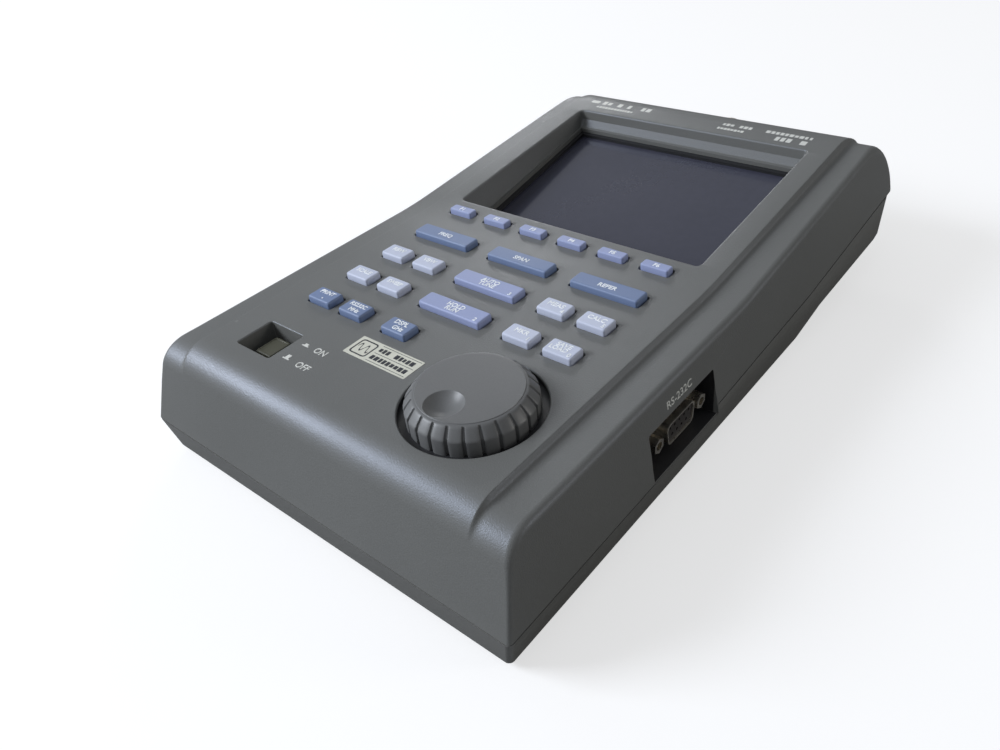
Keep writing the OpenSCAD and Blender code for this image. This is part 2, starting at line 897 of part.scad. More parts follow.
module battery_pack() {
    color("#3b4a7a") place() {
        for (i = [0:4])
            translate([-40 + i * 20, bay_y[0] + 4, 13.2])
                rotate([-90, 0, 0]) cylinder(r = 9.4, h = 92);
        slab([-46, 46], [bay_y[0] + 8, bay_y[1] - 8], [6, 19]);
    }
}

module battery_contacts() {
    color("#d0b060") place()
        for (x = [-24, 24])
            slab([x - 3, x + 3], [bay_y[1] + 0.5, bay_y[1] + 1.2], [5, 17]);
}

module buzzer() {
    color("#1a1a1a") place()
        translate([38, 236, 19.7])
            difference() {
                cylinder(r = 6, h = 6);
                translate([0, 0, 3]) cylinder(r = 1, h = 4);
            }
}

module key_ribbon() {
    color("#c8c8cc") place() {
        slab([-20, 6], [134.3, 135], [19.75, 33.4]);
        slab([-20, 6], [134.3, 162], [19.75, 20.3]);
    }
}

top_case();
bottom_case();
display_gasket();
display_window();
lcd_glass();
lcd_frame();
backlight();
backlight_inverter();
key_board();
key_mat();
key_f1();
key_f2();
key_f3();
key_f4();
key_f5();
key_f6();
key_freq();
key_span();
key_refer();
key_rbw();
key_vbw();
key_auto();
key_meas();
key_calc();
key_scale();
key_sweep();
key_hold();
key_marker();
key_save();
key_print();
key_serial();
key_display();
power_button();
power_switch();
knob();
encoder_shaft();
encoder_body();
encoder_nut();
main_board();
rf_shield();
rf_lid();
rf_connector();
rf_nut();
rf_cable();
dc_jack();
charge_lamp();
serial_shell();
serial_insulator();
jack_screws();
battery_pack();
battery_contacts();
battery_cover();
tilt_stand();
case_screws();
board_screws();
rubber_feet();
buzzer();
key_ribbon();
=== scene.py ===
import json
import math

import bmesh
import bpy
from mathutils import Matrix, Vector
from mathutils.bvhtree import BVHTree


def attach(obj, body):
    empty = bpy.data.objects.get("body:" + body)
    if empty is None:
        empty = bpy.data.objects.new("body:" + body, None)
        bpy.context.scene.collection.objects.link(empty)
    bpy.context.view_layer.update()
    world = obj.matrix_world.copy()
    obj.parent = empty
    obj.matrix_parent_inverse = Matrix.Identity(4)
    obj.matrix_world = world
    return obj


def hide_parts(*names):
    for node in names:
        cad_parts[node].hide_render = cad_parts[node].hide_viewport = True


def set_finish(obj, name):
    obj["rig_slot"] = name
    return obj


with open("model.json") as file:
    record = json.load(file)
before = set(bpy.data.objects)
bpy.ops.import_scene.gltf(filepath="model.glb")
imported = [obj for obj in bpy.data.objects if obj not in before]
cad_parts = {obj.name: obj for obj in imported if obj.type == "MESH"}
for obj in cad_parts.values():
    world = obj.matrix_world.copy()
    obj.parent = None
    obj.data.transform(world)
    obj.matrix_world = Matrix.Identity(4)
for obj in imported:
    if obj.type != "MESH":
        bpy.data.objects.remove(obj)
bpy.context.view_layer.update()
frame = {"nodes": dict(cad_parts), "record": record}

# Case coordinates are millimetres with z 0 on the case bottom and y 0 at the
# front edge. The shared frame is in metres from the middle of the footprint.
MM = 0.001
MID_Y = 135.0
FOOT_H = 1.2

# Side view: a level keypad, then a display part that rises from BEND_Y
KEYPAD_Z = 43.4
PANEL_STEP = 2.2
RISE = math.tan(math.radians(6.0))
BEND_Y, BEND_R = 129.5, 190.0
FRONT_LEAN, FRONT_R = 0.33, 12.0
BODY_L, FAR_Y, FAR_R, FAR_DROP = 265.0, 261.5, 29.0, 3.4
PARTING = [(0, 13.5), (107, 13.5), (107.5, 16.6), (178, 19.3), (250, 25.6), (265, 26.4)]
PARTING_Z = 13.5

# Section: side walls that lean in from the parting line, and the raised panel's half width
HALF_W, HALF_BOTTOM, WALL_LEAN, WALL = 81.0, 77.8, 0.15, 2.5
PANEL_HALF = 63.8

# The inner structure stays SKIN under the surface; LINING is the wall round a pocket
SKIN, LINING = 0.8, 1.8
BOSS_R, POST_R, PILOT_R = 3.6, 3.0, 1.3
BOSS_TOP, BOSS_TOP_FAR = 40.2, 50.0
ACROSS, ALONG, UP = (1, 0, 0), (0, 1, 0), (0, 0, 1)


# --- Small geometry helpers -------------------------------------------------

def face_z(y):
    return KEYPAD_Z + max(0.0, (y - BEND_Y) * RISE)


def part_z(y):
    for (y0, z0), (y1, z1) in zip(PARTING, PARTING[1:]):
        if y <= y1:
            return z0 + (z1 - z0) * (y - y0) / (y1 - y0)
    return PARTING[-1][1]


def arc(a, b, c, r, n):
    """Points of a fillet of radius r at corner b of the path a-b-c."""
    a, b, c = Vector(a), Vector(b), Vector(c)
    if r <= 0:
        return [b]
    u, v = (a - b).normalized(), (c - b).normalized()
    half = math.acos(max(-1, min(1, u.dot(v)))) / 2
    o = b + (u + v).normalized() * r / math.sin(half)
    p, q = b + u * r / math.tan(half) - o, b + v * r / math.tan(half) - o
    a0 = math.atan2(p.y, p.x)
    d = (math.atan2(q.y, q.x) - a0 + 3 * math.pi) % (2 * math.pi) - math.pi
    return [o + r * Vector((math.cos(a0 + d * i / n), math.sin(a0 + d * i / n)))
            for i in range(n + 1)]


def outline(corners, n=8):
    """A closed outline from corners (x, y, radius)."""
    pts = []
    for i, (x, y, r) in enumerate(corners):
        a, c = corners[i - 1], corners[(i + 1) % len(corners)]
        pts += arc(a[:2], (x, y), c[:2], r, n if r > 0 else 1)
    return pts


def mesh_obj(name, verts, faces):
    """A mesh object with doubled points merged and its normals facing out."""
    me = bpy.data.meshes.new(name)
    me.from_pydata([tuple(Vector(v)) for v in verts], [], faces)
    me.validate()
    ob = bpy.data.objects.new(name, me)
    bpy.context.scene.collection.objects.link(ob)
    bm = bmesh.new()
    bm.from_mesh(me)
    bmesh.ops.remove_doubles(bm, verts=bm.verts, dist=1e-5)
    bmesh.ops.recalc_face_normals(bm, faces=bm.faces)
    bm.to_mesh(me)
    bm.free()
    return ob


def loft(name, loops):
    """A solid through closed loops of the same length, with flat ends."""
    n = len(loops[0])
    verts = [v for loop in loops for v in loop]
    faces = []
    for k in range(len(loops) - 1):
        for i in range(n):
            j = (i + 1) % n
            faces.append((k * n + i, k * n + j, (k + 1) * n + j, (k + 1) * n + i))
    faces.append(tuple(range(n - 1, -1, -1)))
    faces.append(tuple((len(loops) - 1) * n + i for i in range(n)))
    return mesh_obj(name, verts, faces)


def extrude_x(name, side, x0, x1):
    """A (y, z) outline drawn from x0 to x1."""
    return loft(name, [[(x, p[0], p[1]) for p in side] for x in (x0, x1)])


def block(name, x, y, z):
    return loft(name, [[(x[0], y[0], h), (x[1], y[0], h), (x[1], y[1], h), (x[0], y[1], h)]
                       for h in z])


def turned(name, at, axis, profile, n=48):
    """A solid turned about an axis through at: profile is (radius, height) pairs."""
    m = Vector((0, 0, 1)).rotation_difference(Vector(axis)).to_matrix()
    loops = []
    for r, h in profile:
        loops.append([Vector(at) + m @ Vector((r * math.cos(2 * math.pi * i / n),
                                               r * math.sin(2 * math.pi * i / n), h))
                      for i in range(n)])
    return loft(name, loops)


def round_rect(w, l, r, n=5):
    return outline([(-w / 2, -l / 2, r), (w / 2, -l / 2, r), (w / 2, l / 2, r), (-w / 2, l / 2, r)], n)


def shifted(loop, x, y):
    return [(p[0] + x, p[1] + y) for p in loop]


def level(loop, z):
    return [(p[0], p[1], z) for p in loop]


def combine(a, op, *others):
    """Boolean of a with the others, which are used up."""
    for b in others:
        m = a.modifiers.new("b", "BOOLEAN")
        m.operation, m.solver, m.object = op, "MANIFOLD", b
        dg = bpy.context.evaluated_depsgraph_get()
        me = bpy.data.meshes.new_from_object(a.evaluated_get(dg))
        a.modifiers.clear()
        old = a.data
        a.data = me
        bpy.data.meshes.remove(old)
        gone = b.data
        bpy.data.objects.remove(b)
        bpy.data.meshes.remove(gone)
    return a


def joined(name, objs):
    """Several separate solids as one object."""
    bm = bmesh.new()
    for o in objs:
        bm.from_mesh(o.data)
        gone = o.data
        bpy.data.objects.remove(o)
        bpy.data.meshes.remove(gone)
    me = bpy.data.meshes.new(name)
    bm.to_mesh(me)
    bm.free()
    ob = bpy.data.objects.new(name, me)
    bpy.context.scene.collection.objects.link(ob)
    return ob


# Pieces that get weighted normals, and the area in square metres from which a face is flat
WEIGHTED = []
BIG_FLAT = 1.5e-4


def to_frame(ob, name, smooth=32, weighted=True):
    """From case millimetres to the shared frame, with smooth shading."""
    ob.name = ob.data.name = name
    ob.data.transform(Matrix.Scale(MM, 4) @ Matrix.Translation((0, -MID_Y, FOOT_H)))
    bm = bmesh.new()
    bm.from_mesh(ob.data)
    bmesh.ops.dissolve_degenerate(bm, edges=bm.edges, dist=2e-7)
    bm.to_mesh(ob.data)
    bm.free()
    for p in ob.data.polygons:
        p.use_smooth = p.area < BIG_FLAT
    ob.data.set_sharp_from_angle(angle=math.radians(smooth))
    if weighted:
        WEIGHTED.append(ob)
    return ob


# --- Upper shell ------------------------------------------------------------

def top_path(drop, drop_far, i=0.0, sink=0.0):
    """Side view of the top from the front parting to the far parting: [(point, normal)]."""
    zt = KEYPAD_Z - drop - i
    path = [
        (i, PARTING_Z - sink, 0, 1),
        (i + FRONT_LEAN * (KEYPAD_Z - drop - PARTING_Z), zt, FRONT_R - i, 14),
        (BEND_Y, zt, BEND_R, 10),
        (FAR_Y - i, face_z(FAR_Y) - drop_far - i, FAR_R - drop_far - i, 18),
        (BODY_L - i, PARTING[-1][1] - sink, 0, 1),
    ]
    steps = [6, 22, 22, 5]
    knots = [arc(path[max(k - 1, 0)][:2], p[:2], path[min(k + 1, 4)][:2], p[2], p[3])
             for k, p in enumerate(path)]
    out = []
    for k, knot in enumerate(knots):
        for j, p in enumerate(knot):
            if 0 < j < len(knot) - 1:
                t = knot[j + 1] - knot[j - 1]
            elif j == 0 and k > 0:
                t = p - knots[k - 1][-1]
            else:
                t = knots[k + 1][0] - p
            t = t.normalized()
            out.append((p, Vector((-t.y, t.x))))
        if k < len(steps):
            a, b = knot[-1], knots[k + 1][0]
            t = (b - a).normalized()
            out += [(a.lerp(b, j / steps[k]), Vector((-t.y, t.x))) for j in range(1, steps[k])]
    return out


# The panel's edge across the shoulder: (distance out, share of the step's height)
STEP_CURVE = [(0, 1), (0.14, 0.985), (0.28, 0.94), (0.42, 0.86), (0.66, 0.66), (0.9, 0.44),
              (1.15, 0.26), (1.45, 0.13), (1.9, 0.05), (2.5, 0.012), (3.2, 0)]


def eased(t):
    t = max(0.0, min(1.0, t))
    return t * t * (3 - 2 * t)


def wall_x(z, i=0.0):
    return HALF_W - i - WALL_LEAN * (z - PARTING_Z)


WALL_N = Vector((1, 0, WALL_LEAN)).normalized()
EDGE_FRONT, EDGE_TOP, EDGE_FAR = 1.3, 2.6, 5.0
# The panel starts to stand out at this share of the front roll, over this length
PINCH_S, PINCH_LEN = 0.42, 26.0
# The edge radius changes over these lengths of the top path: (where, how long)
FRONT_BLEND, FAR_BLEND = (12.0, 26.0), (60.0, 50.0)
PANEL_STATIONS = (0.0, 14.0, 28.0, 42.0, 55.0, PANEL_HALF - 1.0)


def upper_outer(name, i=0.0, sink=0.0):
    """The closed outer form of the upper shell, its edges rolled over to the side walls."""
    high = top_path(0, 0, i, sink)
    low = top_path(PANEL_STEP, FAR_DROP, i, sink)
    lengths = [0.0]
    for a, b in zip(high, high[1:]):
        lengths.append(lengths[-1] + (b[0] - a[0]).length)
    first_arc = next(k for k, (p, n) in enumerate(high) if n.y > 0.25)
    top_start = next(k for k, (p, n) in enumerate(high) if n.y > 0.9999)
    pinch = lengths[first_arc] + PINCH_S * (lengths[top_start] - lengths[first_arc])
    total = lengths[-1]
    rows = []
    for k, ((ph, nh), (pl, nl)) in enumerate(zip(high, low)):
        t = max(0.0, min(1.0, (lengths[k] - pinch) / PINCH_LEN))
        grown = t * (2 - t) if k < len(high) / 2 else 1.0
        pl = ph.lerp(pl, grown)
        n = nh.lerp(nl, grown).normalized()
        end = eased((lengths[k] - total + FAR_BLEND[0]) / FAR_BLEND[1])
        start = 1 - eased((lengths[k] - FRONT_BLEND[0]) / FRONT_BLEND[1])
        r = max(0.3, EDGE_TOP + (EDGE_FRONT - EDGE_TOP) * start + (EDGE_FAR - EDGE_TOP) * end - i)
        # centre of the rolling ball: r inside the top form and r inside the wall plane
        cy, cz = pl.x - n.x * r, pl.y - n.y * r
        cx = wall_x(cz, i) - r * math.sqrt(1 + WALL_LEAN ** 2)
        half = [(x, ph.x, ph.y) for x in PANEL_STATIONS]
        for dx, share in STEP_CURVE:
            p = pl.lerp(ph, share)
            half.append((PANEL_HALF + dx, p.x, p.y))
        a = Vector((0, n.x, n.y))
        angle = a.angle(WALL_N)
        for j in range(9):
            t = j / 8
            d = (a * math.sin((1 - t) * angle) + WALL_N * math.sin(t * angle)) / math.sin(angle)
            half.append((min(cx + d.x * r, HALF_W - i), cy + d.y * r, cz + d.z * r))
        if k in (0, len(high) - 1):
            z = (PARTING[0][1] if k == 0 else PARTING[-1][1]) - sink
            half = [(x, y, z) for x, y, _ in half[:-1]] + [(wall_x(z, i), half[-1][1], z)]
        rows.append(half)
    n = len(rows[0])
    verts, index = [], {}

    def vid(v):
        key = (round(v[0], 5), round(v[1], 5), round(v[2], 5))
        if key not in index:
            index[key] = len(verts)
            verts.append(v)
        return index[key]

    faces = []
    for side in (1, -1):
        for a, b in zip(rows, rows[1:]):
            for j in range(n - 1):
                q = [(side * p[0], p[1], p[2]) for p in (a[j], a[j + 1], b[j + 1], b[j])]
                q = [vid(p) for p in (q if side > 0 else q[::-1])]
                if len(set(q)) == 4:
                    faces.append(q)
        # the planar side wall down to the parting line
        mid = [(wall_x(z - sink, i), y, z - sink) for y, z in PARTING[1:-1]]
        wall = [r[-1] for r in rows] + mid[::-1]
        faces.append([vid((side * p[0], p[1], p[2])) for p in (wall if side < 0 else wall[::-1])])
    # the base: ruled across at each corner of the parting line
    near, far = [list(dict.fromkeys(vid((s * p[0], p[1], p[2])) for s in (-1, 1) for p in row[::s]))
                 for row in (rows[0], rows[-1])]
    cross = [(vid((-p[0], p[1], p[2])), vid(p)) for p in mid]
    faces.append(near + [cross[0][1], cross[0][0]])
    for (a, b), (c, d) in zip(cross, cross[1:]):
        faces.append([a, b, d, c])
    faces.append([cross[-1][0], cross[-1][1]] + far[::-1])
    return mesh_obj(name, verts, faces)


def flared(name, loop, top, r, bottom, tilt=0.0, pivot_y=0.0):
    """A cutter with vertical sides that opens out by r in a quarter round at the surface z = top."""
    n = len(loop)
    normals = []
    for i in range(n):
        t = (Vector(loop[(i + 1) % n]) - Vector(loop[i - 1])).normalized()
        normals.append(Vector((t.y, -t.x)))
    slope = math.tan(math.radians(tilt))

    def ring(off, z, follow=True):
        out = []
        for p, m in zip(loop, normals):
            x, y = p[0] + m.x * off, p[1] + m.y * off
            out.append((x, y, z + (slope * (y - pivot_y) if follow else 0)))
        return out

    rings = [ring(0, bottom, False)]
    for j in range(5):
        a = math.radians(90 * j / 4)
        rings.append(ring(r * (1 - math.cos(a)), top - r * (1 - math.sin(a)) + (0.01 if j == 4 else 0)))
    rings.append(ring(r + 0.05, top + 4))
    return loft(name, rings)


# Keys: (name, left, near, width, length)
ROW_F, ROW_A, ROW_B, ROW_C, ROW_D = 128.3, 107.2, 88.4, 70.6, 52.8
KEYS = [("f%d" % (k + 1), -52.6 + 18 * k, ROW_F, 11.6, 4.7) for k in range(6)]
KEYS += [(nm, -51.8 + 37.2 * k, ROW_A, 27.6, 7.6) for k, nm in enumerate(("freq", "span", "refer"))]
for row, names in ((ROW_B, ("rbw", "vbw", "auto", "meas", "calc")),
                   (ROW_C, ("scale", "sweep", "hold", "marker", "save")),
                   (ROW_D, ("print", "serial", "display"))):
    for nm, left in zip(names, (-51, -35, -14, 22.8, 38.8)):
        KEYS.append((nm, left, row, 27.8 if nm in ("auto", "hold") else 11.6, 7.6))

# A key shorter than this is one of the function keys
SMALL_KEY = 6

PANEL_UNDER = KEYPAD_Z - WALL

# Power button in its well (x0, x1, y0, y1), and the knob in its bore
WELL, WELL_FLOOR = (-51.5, -34.5, 23.0, 37.4), 36.4
PLUNGER, PLUNGER_SIZE = (-44.0, 31.0), (7.8, 9.2)
KNOB, KNOB_TOP, RIBS = (37.3, 41.2), KEYPAD_Z + 6.6, 24
KNOB_BORE_R, KNOB_FLOOR, MOAT_FLOOR = 22.0, 40.0, 36.2

# Display recess: the tilted bottom starts at the lip, and the rim is its edge in the panel
LIP_Y, LIP_Z, LIP_L, GLASS_TILT = 139.5, 32.0, 84.5, math.radians(10.0)
LIP_FAR = (LIP_Y + LIP_L * math.cos(GLASS_TILT), LIP_Z + LIP_L * math.sin(GLASS_TILT))
RIM_NEAR, RIM_FAR = 138.9, 225.3
LEDGE_NEAR, LEDGE_FAR = 41.2, LIP_FAR[1] + 2.6

# Serial pocket in the right wall: PORT_FLOOR is its inner face, PORT_MID the connector's (y, z)
PORT_Y, PORT_TOP, PORT_FLOOR = (68.6, 106.5), 30.6, 72.5
PORT_MID, JACK_GAP = (87.2, 22.3), 24.99

# Case screws (x, y), the left wall's sockets (y, z), and the coaxial input in the far end
SCREWS = [(s * 71, y) for s in (-1, 1) for y in (14, 128, 246)]
DC_JACK, LAMP = (150, 29), (163, 29)
INPUT_Z, INPUT_HOLE_R = 35.0, 8.8


def rect_loop(x, y0, y1, r, n=4):
    return shifted(round_rect(2 * x, y1 - y0, r, n), 0, (y0 + y1) / 2)


def recess_cutter():
    """The display recess: a slanted bottom, side walls with draft, and a rounded rim."""
    def ring(x, y0, y1, z, r):
        return [(p[0], p[1], z(p[1])) for p in rect_loop(x, y0, y1, r)]

    bottom = lambda y: LIP_Z + (y - LIP_Y) * math.tan(GLASS_TILT)
    ledge = lambda y: LEDGE_NEAR + (y - RIM_NEAR) * (LEDGE_FAR - LEDGE_NEAR) / (RIM_FAR - RIM_NEAR)
    rim = lambda y: KEYPAD_Z + (y - BEND_Y) * RISE
    rings = [ring(53.6, LIP_Y, LIP_FAR[0], bottom, 1.2), ring(54.6, RIM_NEAR, RIM_FAR, ledge, 1.6)]
    for j in range(5):
        a = math.radians(90 * j / 4)
        off, down = 0.8 * (1 - math.cos(a)), 0.8 * (1 - math.sin(a)) - (0.01 if j == 4 else 0)
        rings.append(ring(55 + off, RIM_NEAR - off, RIM_FAR + off, lambda y, d=down: rim(y) - d, 1.8 + off))
    rings.append(ring(55.9, RIM_NEAR - 0.9, RIM_FAR + 0.9, lambda y: rim(y) + 5, 2.7))
    return loft("recess", rings)


def on_window(x, v, z):
    """A slab on the tilted window: x across, v up the slope, z out of it."""
    c, s = math.cos(GLASS_TILT), math.sin(GLASS_TILT)
    pts = []
    for h in z:
        loop = [(x[0], v[0]), (x[1], v[0]), (x[1], v[1]), (x[0], v[1])]
        pts.append([(a, LIP_Y + b * c - h * s, LIP_Z + b * s + h * c) for a, b in loop])
    return loft("slab", pts)


def groove():
    """A thin band along the parting line, cut from both shells."""
    half_h, depth = 0.3, 0.55
    line = [(y + (-5 if y == 0 else 5 if y == BODY_L else 0), z) for y, z in PARTING]
    band = [(y, z - half_h) for y, z in line] + [(y, z + half_h) for y, z in line[::-1]]
    core = []
    for z in (-5, 60):
        inside = round_rect(2 * (wall_x(z) - depth), 263.6, 4.0)
        core.append(level(shifted(inside, 0, BODY_L / 2), z))
    return combine(extrude_x("groove", band, -90, 90), "DIFFERENCE", loft("core", core))


def upper_inside():
    """Walls round the display and the serial pocket, with the screw bosses."""
    c, s, g = math.cos(GLASS_TILT), math.sin(GLASS_TILT), LINING
    side = [(RIM_NEAR - g, 70), (RIM_NEAR - g, KEYPAD_Z - 2),
            (LIP_Y - g * (c - s), LIP_Z - g * (s + c)),
            (LIP_FAR[0] + g * (0.6 * c + s), LIP_FAR[1] + g * (0.6 * s - c)),
            (RIM_FAR + g, LEDGE_FAR - g), (RIM_FAR + g, 70)]
    parts = [block("port", (PORT_FLOOR - g, HALF_W), (PORT_Y[0] - g, PORT_Y[1] + 0.4),
                   (PARTING_Z, PORT_TOP + g))]
    for x, y in SCREWS:
        height = (BOSS_TOP_FAR if y > BEND_Y else BOSS_TOP) - part_z(y)
        parts.append(turned("boss", (x, y, part_z(y)), UP, [(BOSS_R, 0), (BOSS_R, height)], 24))
    return combine(extrude_x("inner", side, -56.8, 56.8), "UNION", *parts)


def control_cups():
    """The walls of the button's well and the knob's bore, under the panel."""
    x0, x1, y0, y1 = WELL
    well = block("well", (x0 - LINING, x1 + LINING), (y0 - LINING, y1 + LINING), (WELL_FLOOR - 1.6, 42.2))
    depth = KNOB_FLOOR - MOAT_FLOOR + 3
    bore = turned("bore", (*KNOB, MOAT_FLOOR - 1.6), UP, [(23.8, 0), (23.8, depth)], 64)
    core = turned("core", (*KNOB, 30), UP, [(16.8, 0), (16.8, KNOB_FLOOR - 31.6)], 64)
    return [well, combine(bore, "DIFFERENCE", core)]


def key_holes():
    holes = []
    for nm, x, y, w, l in KEYS:
        small = l < SMALL_KEY
        loop = shifted(round_rect(w + 0.6, l + 0.2, 0.9, 4), x + w / 2, y + l / 2)
        surface, tilt = (KEYPAD_Z + 0.3, 3.4) if small else (KEYPAD_Z, 0)
        holes.append(flared("hole", loop, surface, 0.25, PANEL_UNDER - 1, tilt, y + l / 2))
    return holes


def control_holes():
    """The button's well, and the knob's bore with a deeper ring round its foot."""
    x0, x1, y0, y1 = WELL
    well = shifted(round_rect(x1 - x0, y1 - y0, 0.8), (x0 + x1) / 2, (y0 + y1) / 2)
    turns = [math.radians(3.75 * k) for k in range(96)]
    bore = shifted([(KNOB_BORE_R * math.cos(a), KNOB_BORE_R * math.sin(a)) for a in turns], *KNOB)
    moat = turned("moat", (*KNOB, MOAT_FLOOR), UP, [(KNOB_BORE_R, 0), (KNOB_BORE_R, 5)], 96)
    island = turned("core", (*KNOB, 30), UP, [(18.6, 0), (18.6, 20)], 64)
    return [flared("hole", well, KEYPAD_Z, 0.5, WELL_FLOOR),
            flared("hole", bore, KEYPAD_Z, 0.6, KNOB_FLOOR),
            combine(moat, "DIFFERENCE", island)]


def through_holes():
    """Plunger, knob shaft, window, serial pocket, coaxial input, DC jack and charge lamp."""
    plunger = shifted(round_rect(PLUNGER_SIZE[0] + 0.6, PLUNGER_SIZE[1] + 0.6, 0.8, 3), *PLUNGER)
    pocket = []
    for x, e in ((PORT_FLOOR, 0), (79.2, 0), (79.7, 0.2), (80.2, 0.8), (86, 1.2)):
        loop = round_rect(PORT_Y[1] - PORT_Y[0] + e, 22.1 + e, 0.8)
        pocket.append([(x, y, z) for y, z in shifted(loop, sum(PORT_Y) / 2, PORT_TOP - 11.05)])
    coax = [(INPUT_HOLE_R, 0), (INPUT_HOLE_R, 9.9), (9.4, 12.5), (9.4, 20)]
    return [loft("hole", [level(plunger, z) for z in (30, 38)]),
            turned("hole", (*KNOB, 34), UP, [(4.7, 0), (4.7, 7)], 32),
            on_window((-52.6, 52.6), (1.2, LIP_L - 1.6), (-6, 4)),
            loft("hole", pocket),
            turned("hole", (0, 253, INPUT_Z), ALONG, coax),
            turned("hole", (-83, *DC_JACK), ACROSS, [(4.6, 0), (4.6, 3.1), (4.2, 3.6), (4.2, 8)], 32),
            turned("hole", (-83, *LAMP), ACROSS, [(1.9, 0), (1.9, 3.0), (1.6, 3.4), (1.6, 8)], 24)]


def fastener_holes():
    """The serial connector's cutout, its two jack screws and the case screws."""
    y, z = PORT_MID
    holes = [block("hole", (PORT_FLOOR - 5, PORT_FLOOR + 1), (y - 9.9, y + 9.9), (z - 5.8, z + 5.8))]
    for side in (-1, 1):
        at = (PORT_FLOOR - 4, y + side * JACK_GAP / 2, z)
        holes.append(turned("hole", at, ACROSS, [(1.6, 0), (1.6, 5)], 20))
    for x, y in SCREWS:
        holes.append(turned("hole", (x, y, part_z(y) - 1), UP, [(PILOT_R, 0), (PILOT_R, 12)], 16))
    return holes


def make_upper():
    shell = upper_outer("upper")
    combine(shell, "DIFFERENCE", upper_outer("cavity", WALL, 6))
    inside = combine(upper_inside(), "INTERSECT", upper_outer("skin", SKIN))
    combine(shell, "UNION", inside, *control_cups())
    combine(shell, "DIFFERENCE", joined("cuts", key_holes() + control_holes() + [recess_cutter()]))
    combine(shell, "DIFFERENCE", joined("deep", through_holes()))
    combine(shell, "DIFFERENCE", joined("more", fastener_holes() + [groove()]))
    return to_frame(shell, "upper_shell")


upper = make_upper()


# --- Lower shell ------------------------------------------------------------

# Underside from the far end to the thick part: (y, z, corner radius)
RAMP = [(253.0, 12.6, 14.0), (192.0, 7.6, 6.0), (172.0, 0.0, 6.0)]
STAND_Y, STAND_HALF = (198.0, 246.0), 34.0
BAY_X, BAY_Y = 50.0, (22.0, 122.0)
BOARD_SCREWS = [(s * 61, y) for s in (-1, 1) for y in (161, 246)]
BOARD_PILOT_Z, POST_TOP = 13.8, 18.0


def under_z(y):
    return 0.0 if y < 172 else 7.6 + (y - 192) * 5.0 / 61.0


STAND_TOP = under_z(STAND_Y[1]) + 3.4
PIVOT_Z = STAND_TOP - 2.0


def lower_form(name, i=0.0, lift=0.0):
    """The lower shell's closed form, drawn in by i, its rim raised by lift."""
    rings = []
    # (height, how far the outline is drawn in): a quarter round at the foot
    levels = [(0.0, 1.2), (0.12, 0.66), (0.36, 0.35), (0.72, 0.12), (1.2, 0.0),
              (PARTING_Z, 0.0), (26.4, 0.0), (40.0, 0.0)]
    for z, inset in levels:
        half = HALF_BOTTOM + (HALF_W - HALF_BOTTOM) * z / PARTING_Z if z <= PARTING_Z else wall_x(z)
        near = 2.2 * (1 - z / PARTING_Z) if z <= PARTING_Z else 0.0
        far = min(253 + (z - 12.6) * 12 / 13.8, BODY_L)
        half, near, far = half - i - inset, near + i + inset, far - i
        r0, r1 = max(1.8 - i, 0.5), max(9.0 - i, 0.5)
        loop = outline([(-half, near, r0), (half, near, r0), (half, far, r1), (-half, far, r1)], 8)
        rings.append([(p[0], p[1], z + (i if z == 0 else 0)) for p in loop])
    body = loft(name, rings)
    rim = [(-6.0, PARTING_Z + lift)] + [(y, z + lift) for y, z in PARTING[1:-1]] + \
        [(BODY_L + 6, PARTING[-1][1] + lift)]
    chain = [(BODY_L + 6, PARTING[-1][1] + 5.2 + i)] + [(y, z + i) for y, z, r in RAMP] + [(-6.0, i)]
    under = []
    for k in (1, 2, 3):
        r = RAMP[k - 1][2] - (i if k == 1 else 0)
        under += [(p.x, p.y) for p in arc(chain[k - 1], chain[k], chain[k + 1], r, 8)]
    side = extrude_x("side", rim + under + [(-6.0, i - 0.5)], -90, 90)
    return combine(body, "INTERSECT", side)


